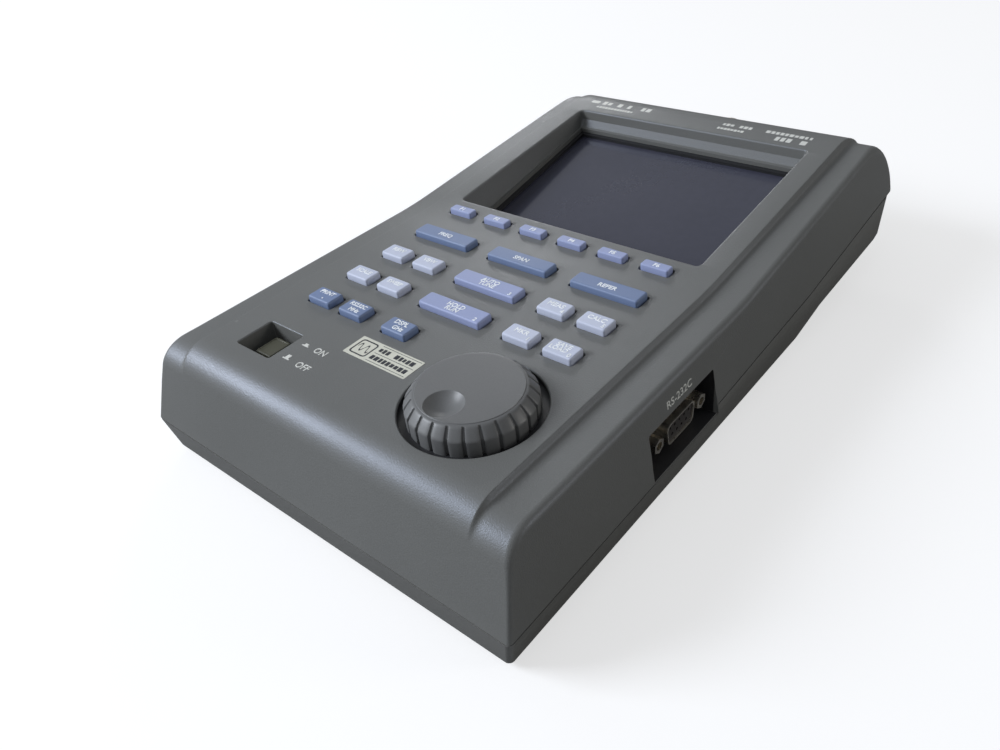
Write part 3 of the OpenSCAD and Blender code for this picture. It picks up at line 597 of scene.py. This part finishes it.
def make_lower():
    shell = lower_form("lower")
    combine(shell, "DIFFERENCE", lower_form("cavity", WALL, 6))
    pads = [block("port", (PORT_FLOOR - LINING, HALF_W + 1), (PORT_Y[0] - LINING, PORT_Y[1] + 0.4),
                  (PARTING_Z - 2.2, PARTING_Z)),
            block("pan", (-STAND_HALF - 1.6, STAND_HALF + 1.6), (STAND_Y[0] - 7.6, STAND_Y[1] + 3.6),
                  (2, STAND_TOP + 1.6))]
    pads = combine(joined("pads", pads), "INTERSECT", lower_form("skin", SKIN))
    frame_ring = block("bay", (-BAY_X - 3, BAY_X + 3), (BAY_Y[0] - 3, BAY_Y[1] + 3), (0.6, 5))
    tubes = []
    for x, y in SCREWS:
        foot = under_z(y) + 1
        tubes.append(turned("tube", (x, y, foot), UP, [(BOSS_R, 0), (BOSS_R, part_z(y) - foot - 0.05)], 24))
    for x, y in BOARD_SCREWS:
        foot = under_z(y) + 1
        tubes.append(turned("post", (x, y, foot), UP, [(POST_R, 0), (POST_R, POST_TOP - foot)], 24))
    combine(shell, "UNION", pads, frame_ring, joined("tubes", tubes))
    bay = [level(rect_loop(BAY_X + e, BAY_Y[0] - e, BAY_Y[1] + e, 2.5, 5), z)
           for z, e in ((-1, 0.45), (-0.05, 0.45), (0.4, 0), (6, 0))]
    stand = rect_loop(STAND_HALF, STAND_Y[0] - 6, STAND_Y[1] + 2, 2.0, 5)
    cuts = [loft("bay", bay), loft("stand", [level(stand, z) for z in (0, STAND_TOP)])]
    for x, y in SCREWS:
        cuts.append(turned("screw", (x, y, under_z(y)), UP,
                           [(3.5, -2), (3.5, 0.02), (3, 0.45), (3, 3), (1.7, 3), (1.7, 28)], 32))
    for x, y in BOARD_SCREWS:
        cuts.append(turned("screw", (x, y, BOARD_PILOT_Z), UP, [(1.05, 0), (1.05, 10)], 16))
    combine(shell, "DIFFERENCE", joined("cuts", cuts))
    pivot_l = 2 * STAND_HALF + 2.4
    combine(shell, "DIFFERENCE",
            turned("pivot", (-pivot_l / 2, STAND_Y[0], PIVOT_Z), ACROSS, [(1.55, 0), (1.55, pivot_l)], 32),
            block("port", (PORT_FLOOR, HALF_W + 5), PORT_Y, (PARTING_Z - 0.05, PARTING_Z + 9)),
            groove())
    return to_frame(shell, "lower_shell")


lower = make_lower()


# --- Keys, knob and button --------------------------------------------------

def letters(body, size, at, squeeze=1.0, bold=0.0):
    """Raised lettering as a closed mesh, centred on the point at."""
    cu = bpy.data.curves.new("text", "FONT")
    cu.body, cu.size, cu.extrude, cu.bevel_depth, cu.bevel_resolution = body, size, 0.01, bold, 0
    cu.align_x, cu.align_y, cu.resolution_u = "CENTER", "CENTER", 3
    ob = bpy.data.objects.new("text", cu)
    bpy.context.scene.collection.objects.link(ob)
    dg = bpy.context.evaluated_depsgraph_get()
    me = bpy.data.meshes.new_from_object(ob.evaluated_get(dg))
    bpy.data.objects.remove(ob)
    bpy.data.curves.remove(cu)
    me.transform(Matrix.Translation(at) @ Matrix.Diagonal((squeeze, 1, 1, 1)))
    bm = bmesh.new()
    bm.from_mesh(me)
    bmesh.ops.remove_doubles(bm, verts=bm.verts, dist=1e-4)
    bm.to_mesh(me)
    bm.free()
    out = bpy.data.objects.new("text", me)
    bpy.context.scene.collection.objects.link(out)
    return out


# Per key: (text, x and y from the key's middle, size)
LEGENDS = {
    "freq": [("FREQ", 0.3, -0.4, 2.3)], "span": [("SPAN", 0.3, -0.4, 2.3)],
    "refer": [("REFER", 0.1, -0.5, 2.3)],
    "rbw": [("RBW", 0.1, 0.6, 2.3)], "vbw": [("VBW", 0.1, 0.6, 2.3)],
    "auto": [("AUTO", 0.3, 0.8, 2.3), ("TUNE", 0.3, -1.35, 2.3), ("3", 11.0, -2.0, 1.9)],
    "meas": [("MEAS", 0, 0.55, 2.3), ("4", 3.9, -1.7, 2.0)],
    "calc": [("CALC", 0, 0.6, 2.3), ("5", 3.9, -1.7, 2.0)],
    "scale": [("SCALE", 0.1, 0.6, 2.1)], "sweep": [("SWEEP", 0.1, 0.6, 2.0)],
    "hold": [("HOLD", 0.3, 0.75, 2.3), ("RUN", 0.3, -1.4, 2.3), ("2", 11.0, -2.0, 1.9)],
    "marker": [("MKR", -0.1, 0.45, 2.3), ("1", 3.9, -1.7, 2.0)],
    "save": [("SAVE", -0.1, 1.25, 2.1), ("LOAD", -0.9, -0.75, 2.1), ("0", 3.9, -2.0, 2.0)],
    "print": [("PRINT", 0, 1.2, 2.1), (".", 0.8, -0.9, 3.4)],
    "serial": [("RS232C", 0, 1.3, 2.0), ("MHz", 0.6, -1.4, 2.0)],
    "display": [("DSPL", 0, 1.3, 2.3), ("GHz", 0.9, -1.4, 2.1)],
}
PALE = ("rbw", "vbw", "meas", "calc", "scale", "sweep", "marker", "save")
BLUE = ("freq", "span", "refer", "print", "serial", "display")
KEY_GAP, KEY_PROUD = 0.3, 2.2


def make_key(nm, x, y, w, l):
    small = l < SMALL_KEY
    top = KEYPAD_Z + KEY_PROUD + (0.1 if small else 0.0)
    w, l = w - 2 * KEY_GAP, l - 2 * KEY_GAP
    lip = 0.9
    skirt = (w + 2 * lip, l + (1 if small else 2) * lip, 0.8)
    rings = [(w - 2, l - 1.6, 0.6, PANEL_UNDER - 1.9), (w - 2, l - 1.6, 0.6, PANEL_UNDER - 1.0),
             (*skirt, PANEL_UNDER - 1.0), (*skirt, PANEL_UNDER - 0.12), (w, l, 0.8, PANEL_UNDER - 0.12)]
    roll = 0.75 if small else 0.95
    for inset, down in ((0, 0.9), (0.04, 0.62), (0.12, 0.38), (0.27, 0.17), (0.48, 0.05), (0.75, 0.0)):
        rings.append((w - 2 * inset * roll, l - 2 * inset * roll, max(0.35, 0.8 - 0.4 * inset),
                      top - down * roll))
    cx, cy = x + w / 2 + KEY_GAP, y + l / 2 + KEY_GAP
    cap = loft("cap", [level(shifted(round_rect(a, b, r, 4), cx, cy), z) for a, b, r, z in rings])
    marks = [letters(t, size * 1.26, (cx + dx, cy + dy * 1.05, top), 0.94, 0.08)
             for t, dx, dy, size in LEGENDS.get(nm, [(nm.upper(), 0.15, -0.35, 2.2)])]
    n_cap = len(cap.data.polygons)
    ob = joined("cap", [cap] + marks)
    for k, p in enumerate(ob.data.polygons):
        p.material_index = int(k >= n_cap)
    to_frame(ob, "cap_" + nm, 40)
    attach(ob, "key_" + nm)
    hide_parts("key_" + nm)
    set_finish(ob, "key_pale" if nm in PALE else "key_blue" if nm in BLUE else "key_lavender")
    return ob


def make_knob():
    # one rib's width: (place across it, share of the groove's depth)
    groove_shape = [(-0.5, 0), (-0.36, 0), (-0.2, 0.02), (-0.12, 0.2), (-0.085, 0.75), (-0.05, 1), (0, 1),
                    (0.05, 1), (0.085, 0.75), (0.12, 0.2), (0.2, 0.02), (0.36, 0)]
    base = KNOB_FLOOR + 0.4
    # (height, radius, groove depth): the ribbed skirt, its bevel, then the plain crown
    rings = [(base, 19.0, 0.6), (base + 0.35, 19.45, 0.9), (base + 0.8, 19.6, 0.9), (46.0, 19.6, 0.9),
             (46.5, 19.45, 0.9), (46.9, 19.15, 0.9), (48.0, 18.3, 0.85), (49.1, 17.35, 0.7),
             (49.45, 16.95, 0.35), (49.62, 16.65, 0.1), (49.74, 16.3, 0), (49.76, 16.1, 0),
             (49.78, 15.95, 0), (49.97, 15.8, 0), (50.0, 15.55, 0), (50.0, 12.0, 0)]
    loops = []
    for z, r, depth in rings:
        loop = []
        for k in range(RIBS):
            for u, cut in groove_shape:
                a = 2 * math.pi * (k + 0.35 + u) / RIBS
                rr = r - depth * cut
                loop.append((rr * math.cos(a), rr * math.sin(a)))
        loops.append(level(shifted(loop, *KNOB), z))
    knob = loft("knob", loops)
    # the dimple: part of a ball, with a softened rim
    ball, rise = 8.1, 5.5
    dip = [(ball * math.sin(math.radians(a)), rise - ball * math.cos(math.radians(a)))
           for a in (0.3, 5, 10, 15, 20, 25, 30, 34, 38, 41, 44, 45.8)]
    dip += [(5.95, -0.03), (6.2, 0.01), (6.3, 2)]
    dimple = turned("dip", (KNOB[0] - 1.1, KNOB[1] - 9.6, KNOB_TOP), UP, dip, 48)
    hub = turned("hub", (*KNOB, base), UP, [(8.9, -1), (8.9, 0.2), (8.5, 0.5), (8.5, 4.8), (3.02, 4.8),
                                            (3.02, KNOB_TOP - base - 1.6)], 48)
    combine(knob, "DIFFERENCE", dimple, hub)
    to_frame(knob, "dial", 28)
    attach(knob, "knob")
    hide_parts("knob")
    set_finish(knob, "knob_grey")
    return knob


def make_plunger():
    top = 39.4
    w, l = PLUNGER_SIZE
    rings = [(4.0, 4.0, 1.99, 27.5), (4.0, 4.0, 1.99, 34.6), (w, l, 0.8, 34.6)]
    for inset, down in ((0, 0.6), (0.04, 0.4), (0.15, 0.18), (0.32, 0.05), (0.5, 0), (0.9, 0), (1.0, 0.12)):
        rings.append((w - 2 * inset, l - 2 * inset, max(0.3, 0.8 - 0.5 * inset), top - down))
    ob = loft("plunger", [level(shifted(round_rect(a, b, r), *PLUNGER), z) for a, b, r, z in rings])
    to_frame(ob, "power_plunger", 40)
    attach(ob, "power_button")
    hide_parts("power_button")
    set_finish(ob, "button_olive")
    return ob


for shell, node in ((upper, "top_case"), (lower, "bottom_case")):
    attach(shell, "case")
    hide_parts(node)
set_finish(upper, "case_grey")
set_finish(lower, "case_grey_lower")
caps = [make_key(*k) for k in KEYS]
dial = make_knob()
plunger = make_plunger()


# --- Printing and label -----------------------------------------------------

def plate(loop, at, thick=0.05, deep=0.05, tilt=0.0):
    """A thin closed plate from an (x, y) outline about the point at."""
    m = Matrix.Translation(at) @ Matrix.Rotation(tilt, 4, "X")
    return loft("plate", [[m @ Vector((p[0], p[1], z)) for p in loop] for z in (-deep, thick)])


def bars(x0, x1, y, height, seed, at_z, tilt):
    """A row of letter-sized bars that stands for a line of print."""
    out, x, k = [], x0, seed
    while x < x1 - 0.8:
        k = (k * 1103515245 + 12345) % 2147483648
        w = height * (0.5 + 0.35 * (k >> 16 & 255) / 255)
        if (k >> 8 & 7) != 0:
            h = height * (1 if (k >> 20 & 3) else 0.8)
            out.append(plate(round_rect(min(w, x1 - x), h, 0.1, 1), (x + w / 2, y, at_z(y)), tilt=tilt))
        x += w + height * 0.22
    return out


def make_prints():
    z = KEYPAD_Z
    out = [letters("ON", 3.7, (-21.9, 34.2, z), 0.95, 0.07),
           letters("OFF", 3.7, (-20.8, 26.0, z), 0.95, 0.07)]
    # button pictograms: pushed in, and standing out
    for x, y, up in ((-29.2, 34.6, 0.7), (-29.2, 26.6, 1.6)):
        sign = [(-1.5, -0.9), (1.5, -0.9), (1.5, -0.4), (0.8, -0.4),
                (0.8, up - 0.2), (-0.8, up - 0.2), (-0.8, -0.4), (-1.5, -0.4)]
        out.append(plate(sign, (x, y, z)))
    skin = BVHTree.FromObject(upper, bpy.context.evaluated_depsgraph_get())

    def far(y):
        hit = skin.ray_cast(Vector((0.0, (y - MID_Y) * MM, 0.1)), Vector((0, 0, -1)))[0]
        return hit.z / MM - FOOT_H

    tilt = math.atan2(far(235.5) - far(229.5), 6.0)
    out += bars(-49, -21, 234.8, 3.2, 7, far, tilt) + bars(-50, -30, 230.6, 1.7, 11, far, tilt)
    out.append(plate(round_rect(4.6, 2.4, 0.9, 4), (-53.2, 234.7, far(234.7)), tilt=tilt))
    out += bars(11, 29, 234.4, 2.2, 5, far, tilt) + bars(33, 52.5, 234.4, 2.2, 9, far, tilt)
    out += bars(12.5, 24.5, 230.6, 1.7, 3, far, tilt) + bars(39, 52.5, 230.0, 3.2, 13, far, tilt)
    ob = to_frame(joined("prints", out), "panel_print", 40, False)
    side = letters("RS-232C", 3.7, (0, 0, 0), 1.1, 0.05)
    m = Matrix.Translation((wall_x(34.0) * MM, (86.6 - MID_Y) * MM, (33.9 + FOOT_H) * MM)) @ \
        Matrix(((0, 0, 1, 0), (1, 0, 0, 0), (0, 1, 0, 0), (0, 0, 0, 1))) @ \
        Matrix.Rotation(-math.atan(WALL_LEAN), 4, "X") @ Matrix.Scale(MM, 4)
    side.data.transform(m)
    side.name = side.data.name = "port_legend"
    for o in (ob, side):
        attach(o, "case")
        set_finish(o, "key_pale")
    return [ob, side]


def make_label():
    """The cream sticker: a wave in a frame and two ruled lines of bars."""
    cx, cy, z = -2.4, 43.5, KEYPAD_Z + 0.1
    base = plate(round_rect(27.8, 9.6, 0.4, 3), (cx, cy, KEYPAD_Z), 0.1)
    sign = (cx - 8.9, cy, z)
    outer, inner = round_rect(7.4, 7.4, 1.2, 4), round_rect(6.4, 6.4, 0.8, 4)
    ink = [combine(plate(outer, sign, 0.04), "DIFFERENCE", plate(inner, sign, 0.3, 0.3))]
    wave = [(t * 0.3 - 2.7, 1.7 * math.sin(t * 0.3 * 2.2)) for t in range(19)]
    ribbon = [(x, y + 0.35) for x, y in wave] + [(x, y - 0.35) for x, y in wave[::-1]]
    ink.append(plate(ribbon, sign, 0.04))
    for y in (4.0, 0.05, -4.0):
        ink.append(plate(round_rect(17.2, 0.16, 0.05, 1), (cx + 4.6, cy + y, z), 0.04))
    for y, seed in ((cy + 2.0, 21), (cy - 2.0, 33)):
        ink += bars(cx - 3.6, cx + 12.8, y, 2.0, seed, lambda y: z, 0)
    n = len(base.data.polygons)
    ob = joined("label", [base] + ink)
    for k, p in enumerate(ob.data.polygons):
        p.material_index = int(k >= n)
    to_frame(ob, "label", 40, False)
    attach(ob, "case")
    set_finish(ob, "key_pale")
    return ob


prints = make_prints()
label = make_label()


# --- Finishes ---------------------------------------------------------------

def finish(name, colour, rough=0.5, metal=0.0, grain=(2600, 0.25, 0.00004), mottle=0.1, patch=22,
           coat=0.0, scuff=0.0, specks=0.0, emit=0.0, tint=None, brushed=None):
    """A moulded, painted or metal finish: colour and gloss drift, surface grain and light wear."""
    m = bpy.data.materials.new(name)
    m.use_nodes = True
    nt = m.node_tree
    nt.nodes.clear()
    add, link = nt.nodes.new, nt.links.new
    out, sh = add("ShaderNodeOutputMaterial"), add("ShaderNodeBsdfPrincipled")
    link(sh.outputs[0], out.inputs[0])
    pos = add("ShaderNodeTexCoord").outputs["Object"]
    if brushed:
        mp = add("ShaderNodeMapping")
        mp.inputs["Scale"].default_value = brushed
        link(pos, mp.inputs[0])
        pos_g = mp.outputs[0]
    else:
        pos_g = pos

    def noise(where, scale, detail=3.0, roughness=0.55):
        n = add("ShaderNodeTexNoise")
        n.inputs["Scale"].default_value = scale
        n.inputs["Detail"].default_value = detail
        n.inputs["Roughness"].default_value = roughness
        link(where, n.inputs["Vector"])
        return n.outputs["Fac"]

    def spread(fac, a, b, lo, hi):
        r = add("ShaderNodeMapRange")
        for k, v in zip(("From Min", "From Max", "To Min", "To Max"), (a, b, lo, hi)):
            r.inputs[k].default_value = v
        link(fac, r.inputs["Value"])
        return r.outputs[0]

    def mix(fac, a, b):
        x = add("ShaderNodeMix")
        x.data_type = "RGBA"
        link(fac, x.inputs["Factor"])
        for v, sock in ((a, x.inputs["A"]), (b, x.inputs["B"])):
            if isinstance(v, tuple):
                sock.default_value = (*v, 1)
            else:
                link(v, sock)
        return x.outputs["Result"]

    def shade(c, k):
        return tuple(min(1.0, v * k) for v in c)

    drift = spread(noise(pos, patch), 0.3, 0.7, 0, 1)
    fine = noise(pos_g, grain[0], 2.0)
    col = mix(drift, shade(colour, 1 - mottle), shade(colour, 1 + mottle))
    col = mix(spread(fine, 0.35, 0.65, 0, 0.35), col, shade(colour, 0.82))
    rgh = spread(drift, 0, 1, rough - 0.05, rough + 0.06)
    if scuff:
        # rubbed high spots, found from how sharply the surface turns
        geo = add("ShaderNodeNewGeometry")
        edge = spread(geo.outputs["Pointiness"], 0.52, 0.6, 0, scuff)
        rub = add("ShaderNodeMath")
        rub.operation = "MULTIPLY"
        link(edge, rub.inputs[0])
        link(spread(noise(pos, 160, 4.0, 0.7), 0.42, 0.62, 0.25, 1), rub.inputs[1])
        col = mix(rub.outputs[0], col, shade(colour, 1.9))
    if specks:
        v = add("ShaderNodeTexVoronoi")
        v.inputs["Scale"].default_value = 55
        link(pos, v.inputs["Vector"])
        col = mix(spread(v.outputs["Distance"], 0.02, 0.045, specks, 0), col, shade(colour, 2.2))
    link(col, sh.inputs["Base Color"])
    link(rgh, sh.inputs["Roughness"])
    sh.inputs["Metallic"].default_value = metal
    sh.inputs["Coat Weight"].default_value = coat
    sh.inputs["Coat Roughness"].default_value = 0.08
    if tint:
        sh.inputs["Specular Tint"].default_value = (*tint, 1)
    if emit:
        sh.inputs["Emission Color"].default_value = (*colour, 1)
        sh.inputs["Emission Strength"].default_value = emit
    bump = add("ShaderNodeBump")
    bump.inputs["Strength"].default_value = grain[1]
    bump.inputs["Distance"].default_value = grain[2]
    link(fine, bump.inputs["Height"])
    link(bump.outputs[0], sh.inputs["Normal"])
    return m


# Name: (colour, roughness, what else the finish has)
LOOKS = {
    "case_grey": ((0.145, 0.145, 0.136), 0.4, dict(
        scuff=0.08, specks=0.25, mottle=0.05, patch=14,
        grain=(2400, 0.6, 0.00011), tint=(0.74, 0.82, 1.0))),
    "case_grey_lower": ((0.155, 0.153, 0.143), 0.42, dict(
        scuff=0.08, specks=0.25, mottle=0.06, patch=14,
        grain=(2400, 0.6, 0.00010), tint=(0.8, 0.86, 1.0))),
    "key_lavender": ((0.30, 0.345, 0.55), 0.5, dict(grain=(3600, 0.12, 0.00003), mottle=0.04)),
    "key_blue": ((0.162, 0.218, 0.365), 0.5, dict(grain=(3600, 0.12, 0.00003), mottle=0.04)),
    "key_pale": ((0.53, 0.565, 0.69), 0.5, dict(grain=(3600, 0.12, 0.00003), mottle=0.04)),
    "knob_grey": ((0.138, 0.139, 0.139), 0.42, dict(scuff=0.3, grain=(2800, 0.3, 0.00004))),
    "button_olive": ((0.075, 0.073, 0.048), 0.55, dict(grain=(2400, 0.3, 0.00004))),
    "black_gasket": ((0.012, 0.012, 0.014), 0.6, dict(grain=(2000, 0.4, 0.00005))),
    "window_glass": ((0.038, 0.039, 0.060), 0.16, dict(
        grain=(300, 0.02, 0.00002), mottle=0.08, patch=9, coat=0.6)),
    "lcd_dark": ((0.03, 0.032, 0.045), 0.2, dict(grain=(4500, 0.1, 0.00002))),
    "steel_sheet": ((0.55, 0.55, 0.53), 0.36, dict(
        metal=1.0, grain=(900, 0.15, 0.00003), brushed=(1, 0.05, 1))),
    "bright_steel": ((0.80, 0.79, 0.75), 0.25, dict(
        metal=1.0, grain=(1500, 0.12, 0.00003), brushed=(1, 1, 0.1))),
    "nickel_warm": ((0.80, 0.75, 0.66), 0.3, dict(
        metal=1.0, grain=(1600, 0.2, 0.00003), mottle=0.2, patch=260)),
    "contact_brass": ((0.72, 0.55, 0.28), 0.3, dict(metal=1.0, grain=(1500, 0.2, 0.00003))),
    "diffuser_white": ((0.75, 0.76, 0.76), 0.5, dict(grain=(1500, 0.1, 0.00003))),
    "board_green": ((0.02, 0.10, 0.045), 0.38, dict(
        grain=(700, 0.35, 0.00005), mottle=0.3, patch=220, coat=0.3)),
    "silicone_grey": ((0.2, 0.2, 0.21), 0.7, dict(grain=(1800, 0.3, 0.00004))),
    "black_plastic": ((0.016, 0.016, 0.018), 0.45, dict(grain=(2600, 0.3, 0.00004))),
    "insulator_dark": ((0.030, 0.026, 0.024), 0.5, dict(grain=(2600, 0.3, 0.00004))),
    "coax_brown": ((0.09, 0.045, 0.025), 0.5, dict(grain=(3200, 0.4, 0.00006))),
    "lamp_lens": ((0.05, 0.30, 0.06), 0.2, dict(grain=(900, 0.1, 0.00003), coat=0.5, emit=0.1)),
    "battery_wrap": ((0.03, 0.05, 0.14), 0.3, dict(grain=(1500, 0.2, 0.00004), coat=0.3)),
    "stand_grey": ((0.135, 0.138, 0.13), 0.5, dict(scuff=0.35, grain=(2400, 0.35, 0.00005))),
    "screw_black": ((0.025, 0.025, 0.027), 0.38, dict(metal=1.0, grain=(2200, 0.25, 0.00003))),
    "black_rubber": ((0.018, 0.018, 0.018), 0.8, dict(grain=(1600, 0.5, 0.00008))),
    "ribbon_grey": ((0.34, 0.35, 0.36), 0.45, dict(grain=(600, 0.3, 0.00006), brushed=(1, 0.02, 1))),
    "ink_white": ((0.86, 0.88, 0.9), 0.5, dict(grain=(3000, 0.2, 0.00002))),
    "ink_grey": ((0.66, 0.66, 0.62), 0.5, dict(grain=(3000, 0.2, 0.00002))),
    "ink_dark": ((0.02, 0.022, 0.03), 0.5, dict(grain=(3000, 0.2, 0.00002))),
    "label_cream": ((0.64, 0.63, 0.54), 0.45, dict(grain=(1400, 0.2, 0.00003), patch=60, mottle=0.04)),
}
FINISHES = {name: finish(name, colour, rough, **more) for name, (colour, rough, more) in LOOKS.items()}


def dress(ob, *names):
    """Gives a piece its finishes and keeps the choice made for each face."""
    which = [p.material_index for p in ob.data.polygons]
    ob.data.materials.clear()
    for name in names:
        ob.data.materials.append(FINISHES[name])
    ob.data.polygons.foreach_set("material_index", which)


def case_centre(face):
    """The middle of a face, in case coordinates."""
    x, y, z = face.center / MM
    return x, y + MID_Y, z - FOOT_H


# Painted shade: the inside of the serial pocket and the gap round the knob get the black finish, which
# stands in for the shade that falls in them
for face in upper.data.polygons:
    x, y, z = case_centre(face)
    pocket_painted_shade = (PORT_FLOOR - 6 < x < 79.3 and PORT_Y[0] - 0.1 < y < PORT_Y[1] + 0.1
                 and PORT_TOP - 22.2 < z < PORT_TOP + 0.1)
    bore_painted_shade = math.hypot(x - KNOB[0], y - KNOB[1]) < KNOB_BORE_R + 0.1 and z < KEYPAD_Z - 0.7
    face.material_index = int(pocket_painted_shade or bore_painted_shade)
# Painted shade: the lower shell's level faces in the serial pocket get the black finish too
for face in lower.data.polygons:
    x, y, z = case_centre(face)
    level_face = abs(face.normal.z) > 0.9 and z > PARTING_Z - 1
    face.material_index = int(level_face and x > PORT_FLOOR - 1 and PORT_Y[0] < y < PORT_Y[1])
# On each shell the second finish, black_plastic, carries the painted shade of the pocket and the knob's gap
dress(upper, "case_grey", "black_plastic")
dress(lower, "case_grey_lower", "black_plastic")
for cap in caps:
    dress(cap, cap["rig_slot"], "ink_white")
dress(dial, "knob_grey")
dress(plunger, "button_olive")
for ob in prints:
    dress(ob, "ink_grey")
dress(label, "label_cream", "ink_dark")

for ob in WEIGHTED:
    wn = ob.modifiers.new("flat_faces", "WEIGHTED_NORMAL")
    wn.keep_sharp, wn.weight = True, 80

# Bevel widths in millimetres
SOFT_EDGE = {"serial_shell": 0.25, "jack_screws": 0.3, "tilt_stand": 0.5, "battery_cover": 0.4,
             "dc_jack": 0.2, "rf_nut": 0.3, "rf_connector": 0.25, "case_screws": 0.15,
             "rubber_feet": 0.3, "display_window": 0.3}
for part in frame["record"]["subparts"]:
    node = frame["nodes"][part["node"]]
    look = FINISHES[part["material_slot"]]
    if not node.material_slots:
        node.data.materials.append(look)
    for slot in node.material_slots:
        slot.material = look
    if part["node"] in SOFT_EDGE:
        bv = node.modifiers.new("soft_edges", "BEVEL")
        bv.width, bv.segments, bv.limit_method = SOFT_EDGE[part["node"]] * MM, 2, "ANGLE"
        bv.angle_limit, bv.harden_normals = math.radians(40), False


# --- Studio -----------------------------------------------------------------

def floor():
    """Pale and evenly bright to the camera, duller to the light that bounces off it."""
    ob = mesh_obj("floor", [(-4, -4, 0), (4, -4, 0), (4, 4, 0), (-4, 4, 0)], [(0, 1, 2, 3)])
    ob.location.z = -0.0002
    m = bpy.data.materials.new("floor_pale")
    m.use_nodes = True
    nt = m.node_tree
    nt.nodes.clear()
    add, link = nt.nodes.new, nt.links.new
    out, pick = add("ShaderNodeOutputMaterial"), add("ShaderNodeMixShader")
    seen, glow = add("ShaderNodeAddShader"), add("ShaderNodeEmission")
    pale, dull = add("ShaderNodeBsdfDiffuse"), add("ShaderNodeBsdfDiffuse")
    glow.inputs[0].default_value, glow.inputs[1].default_value = (1, 1, 1, 1), 0.62
    pale.inputs[0].default_value = (0.42, 0.42, 0.425, 1)
    dull.inputs[0].default_value = (0.25, 0.25, 0.25, 1)
    link(glow.outputs[0], seen.inputs[0])
    link(pale.outputs[0], seen.inputs[1])
    link(add("ShaderNodeLightPath").outputs["Is Camera Ray"], pick.inputs[0])
    link(dull.outputs[0], pick.inputs[1])
    link(seen.outputs[0], pick.inputs[2])
    link(pick.outputs[0], out.inputs[0])
    ob.data.materials.append(m)


def area(name, at, aim, size, power, colour=(1, 1, 1)):
    li = bpy.data.lights.new(name, "AREA")
    li.shape, li.size, li.size_y, li.energy, li.color = "RECTANGLE", size[0], size[1], power, colour
    ob = bpy.data.objects.new(name, li)
    ob.location = at
    ob.rotation_euler = (Vector(aim) - Vector(at)).to_track_quat("-Z", "Y").to_euler()
    bpy.context.scene.collection.objects.link(ob)


def camera():
    cam = bpy.data.cameras.new("camera")
    cam.sensor_width, cam.lens, cam.clip_start = 36, 29.71, 0.01
    cam.shift_x, cam.shift_y = -0.01436, -0.0158
    ob = bpy.data.objects.new("camera", cam)
    right, up = (0.7719, 0.62868, -0.09447), (-0.31441, 0.50667, 0.80276)
    back = (0.55255, -0.58995, 0.58877)
    ob.matrix_world = Matrix.Translation((0.17207, -0.21832, 0.19208)) @ \
        Matrix((right, up, back)).transposed().to_4x4()
    bpy.context.scene.collection.objects.link(ob)
    bpy.context.scene.camera = ob


floor()
camera()
area("key_light", (-1.1, -0.95, 0.95), (0, 0, 0), (0.7, 0.7), 30, (0.87, 0.92, 1.0))
area("far_light", (-1.24, 1.43, 0.72), (-0.06, 0.1, 0.06), (0.5, 0.3), 4.5)
area("right_fill", (1.6, 0.9, 0.5), (0, 0, 0), (0.6, 0.6), 7, (1.0, 0.98, 0.94))


def studio():
    """A room that is bright above and on the left, and falls off to the right."""
    world = bpy.data.worlds.new("studio")
    world.use_nodes = True
    nt = world.node_tree
    add, link = nt.nodes.new, nt.links.new
    back = nt.nodes["Background"]
    dot = add("ShaderNodeVectorMath")
    dot.operation = "DOT_PRODUCT"
    dot.inputs[1].default_value = (-0.72, -0.25, 0.65)
    link(add("ShaderNodeTexCoord").outputs["Generated"], dot.inputs[0])
    fall = add("ShaderNodeMapRange")
    for k, v in zip(("From Min", "From Max", "To Min", "To Max"), (-0.55, 0.9, 0.11, 0.46)):
        fall.inputs[k].default_value = v
    link(dot.outputs["Value"], fall.inputs["Value"])
    seen = add("ShaderNodeMix")
    link(add("ShaderNodeLightPath").outputs["Is Camera Ray"], seen.inputs["Factor"])
    link(fall.outputs[0], seen.inputs["A"])
    seen.inputs["B"].default_value = 0.95
    link(seen.outputs["Result"], back.inputs[1])
    back.inputs[0].default_value = (0.94, 0.98, 1.03, 1)
    bpy.context.scene.world = world


studio()
bpy.context.scene.view_settings.view_transform = "Standard"
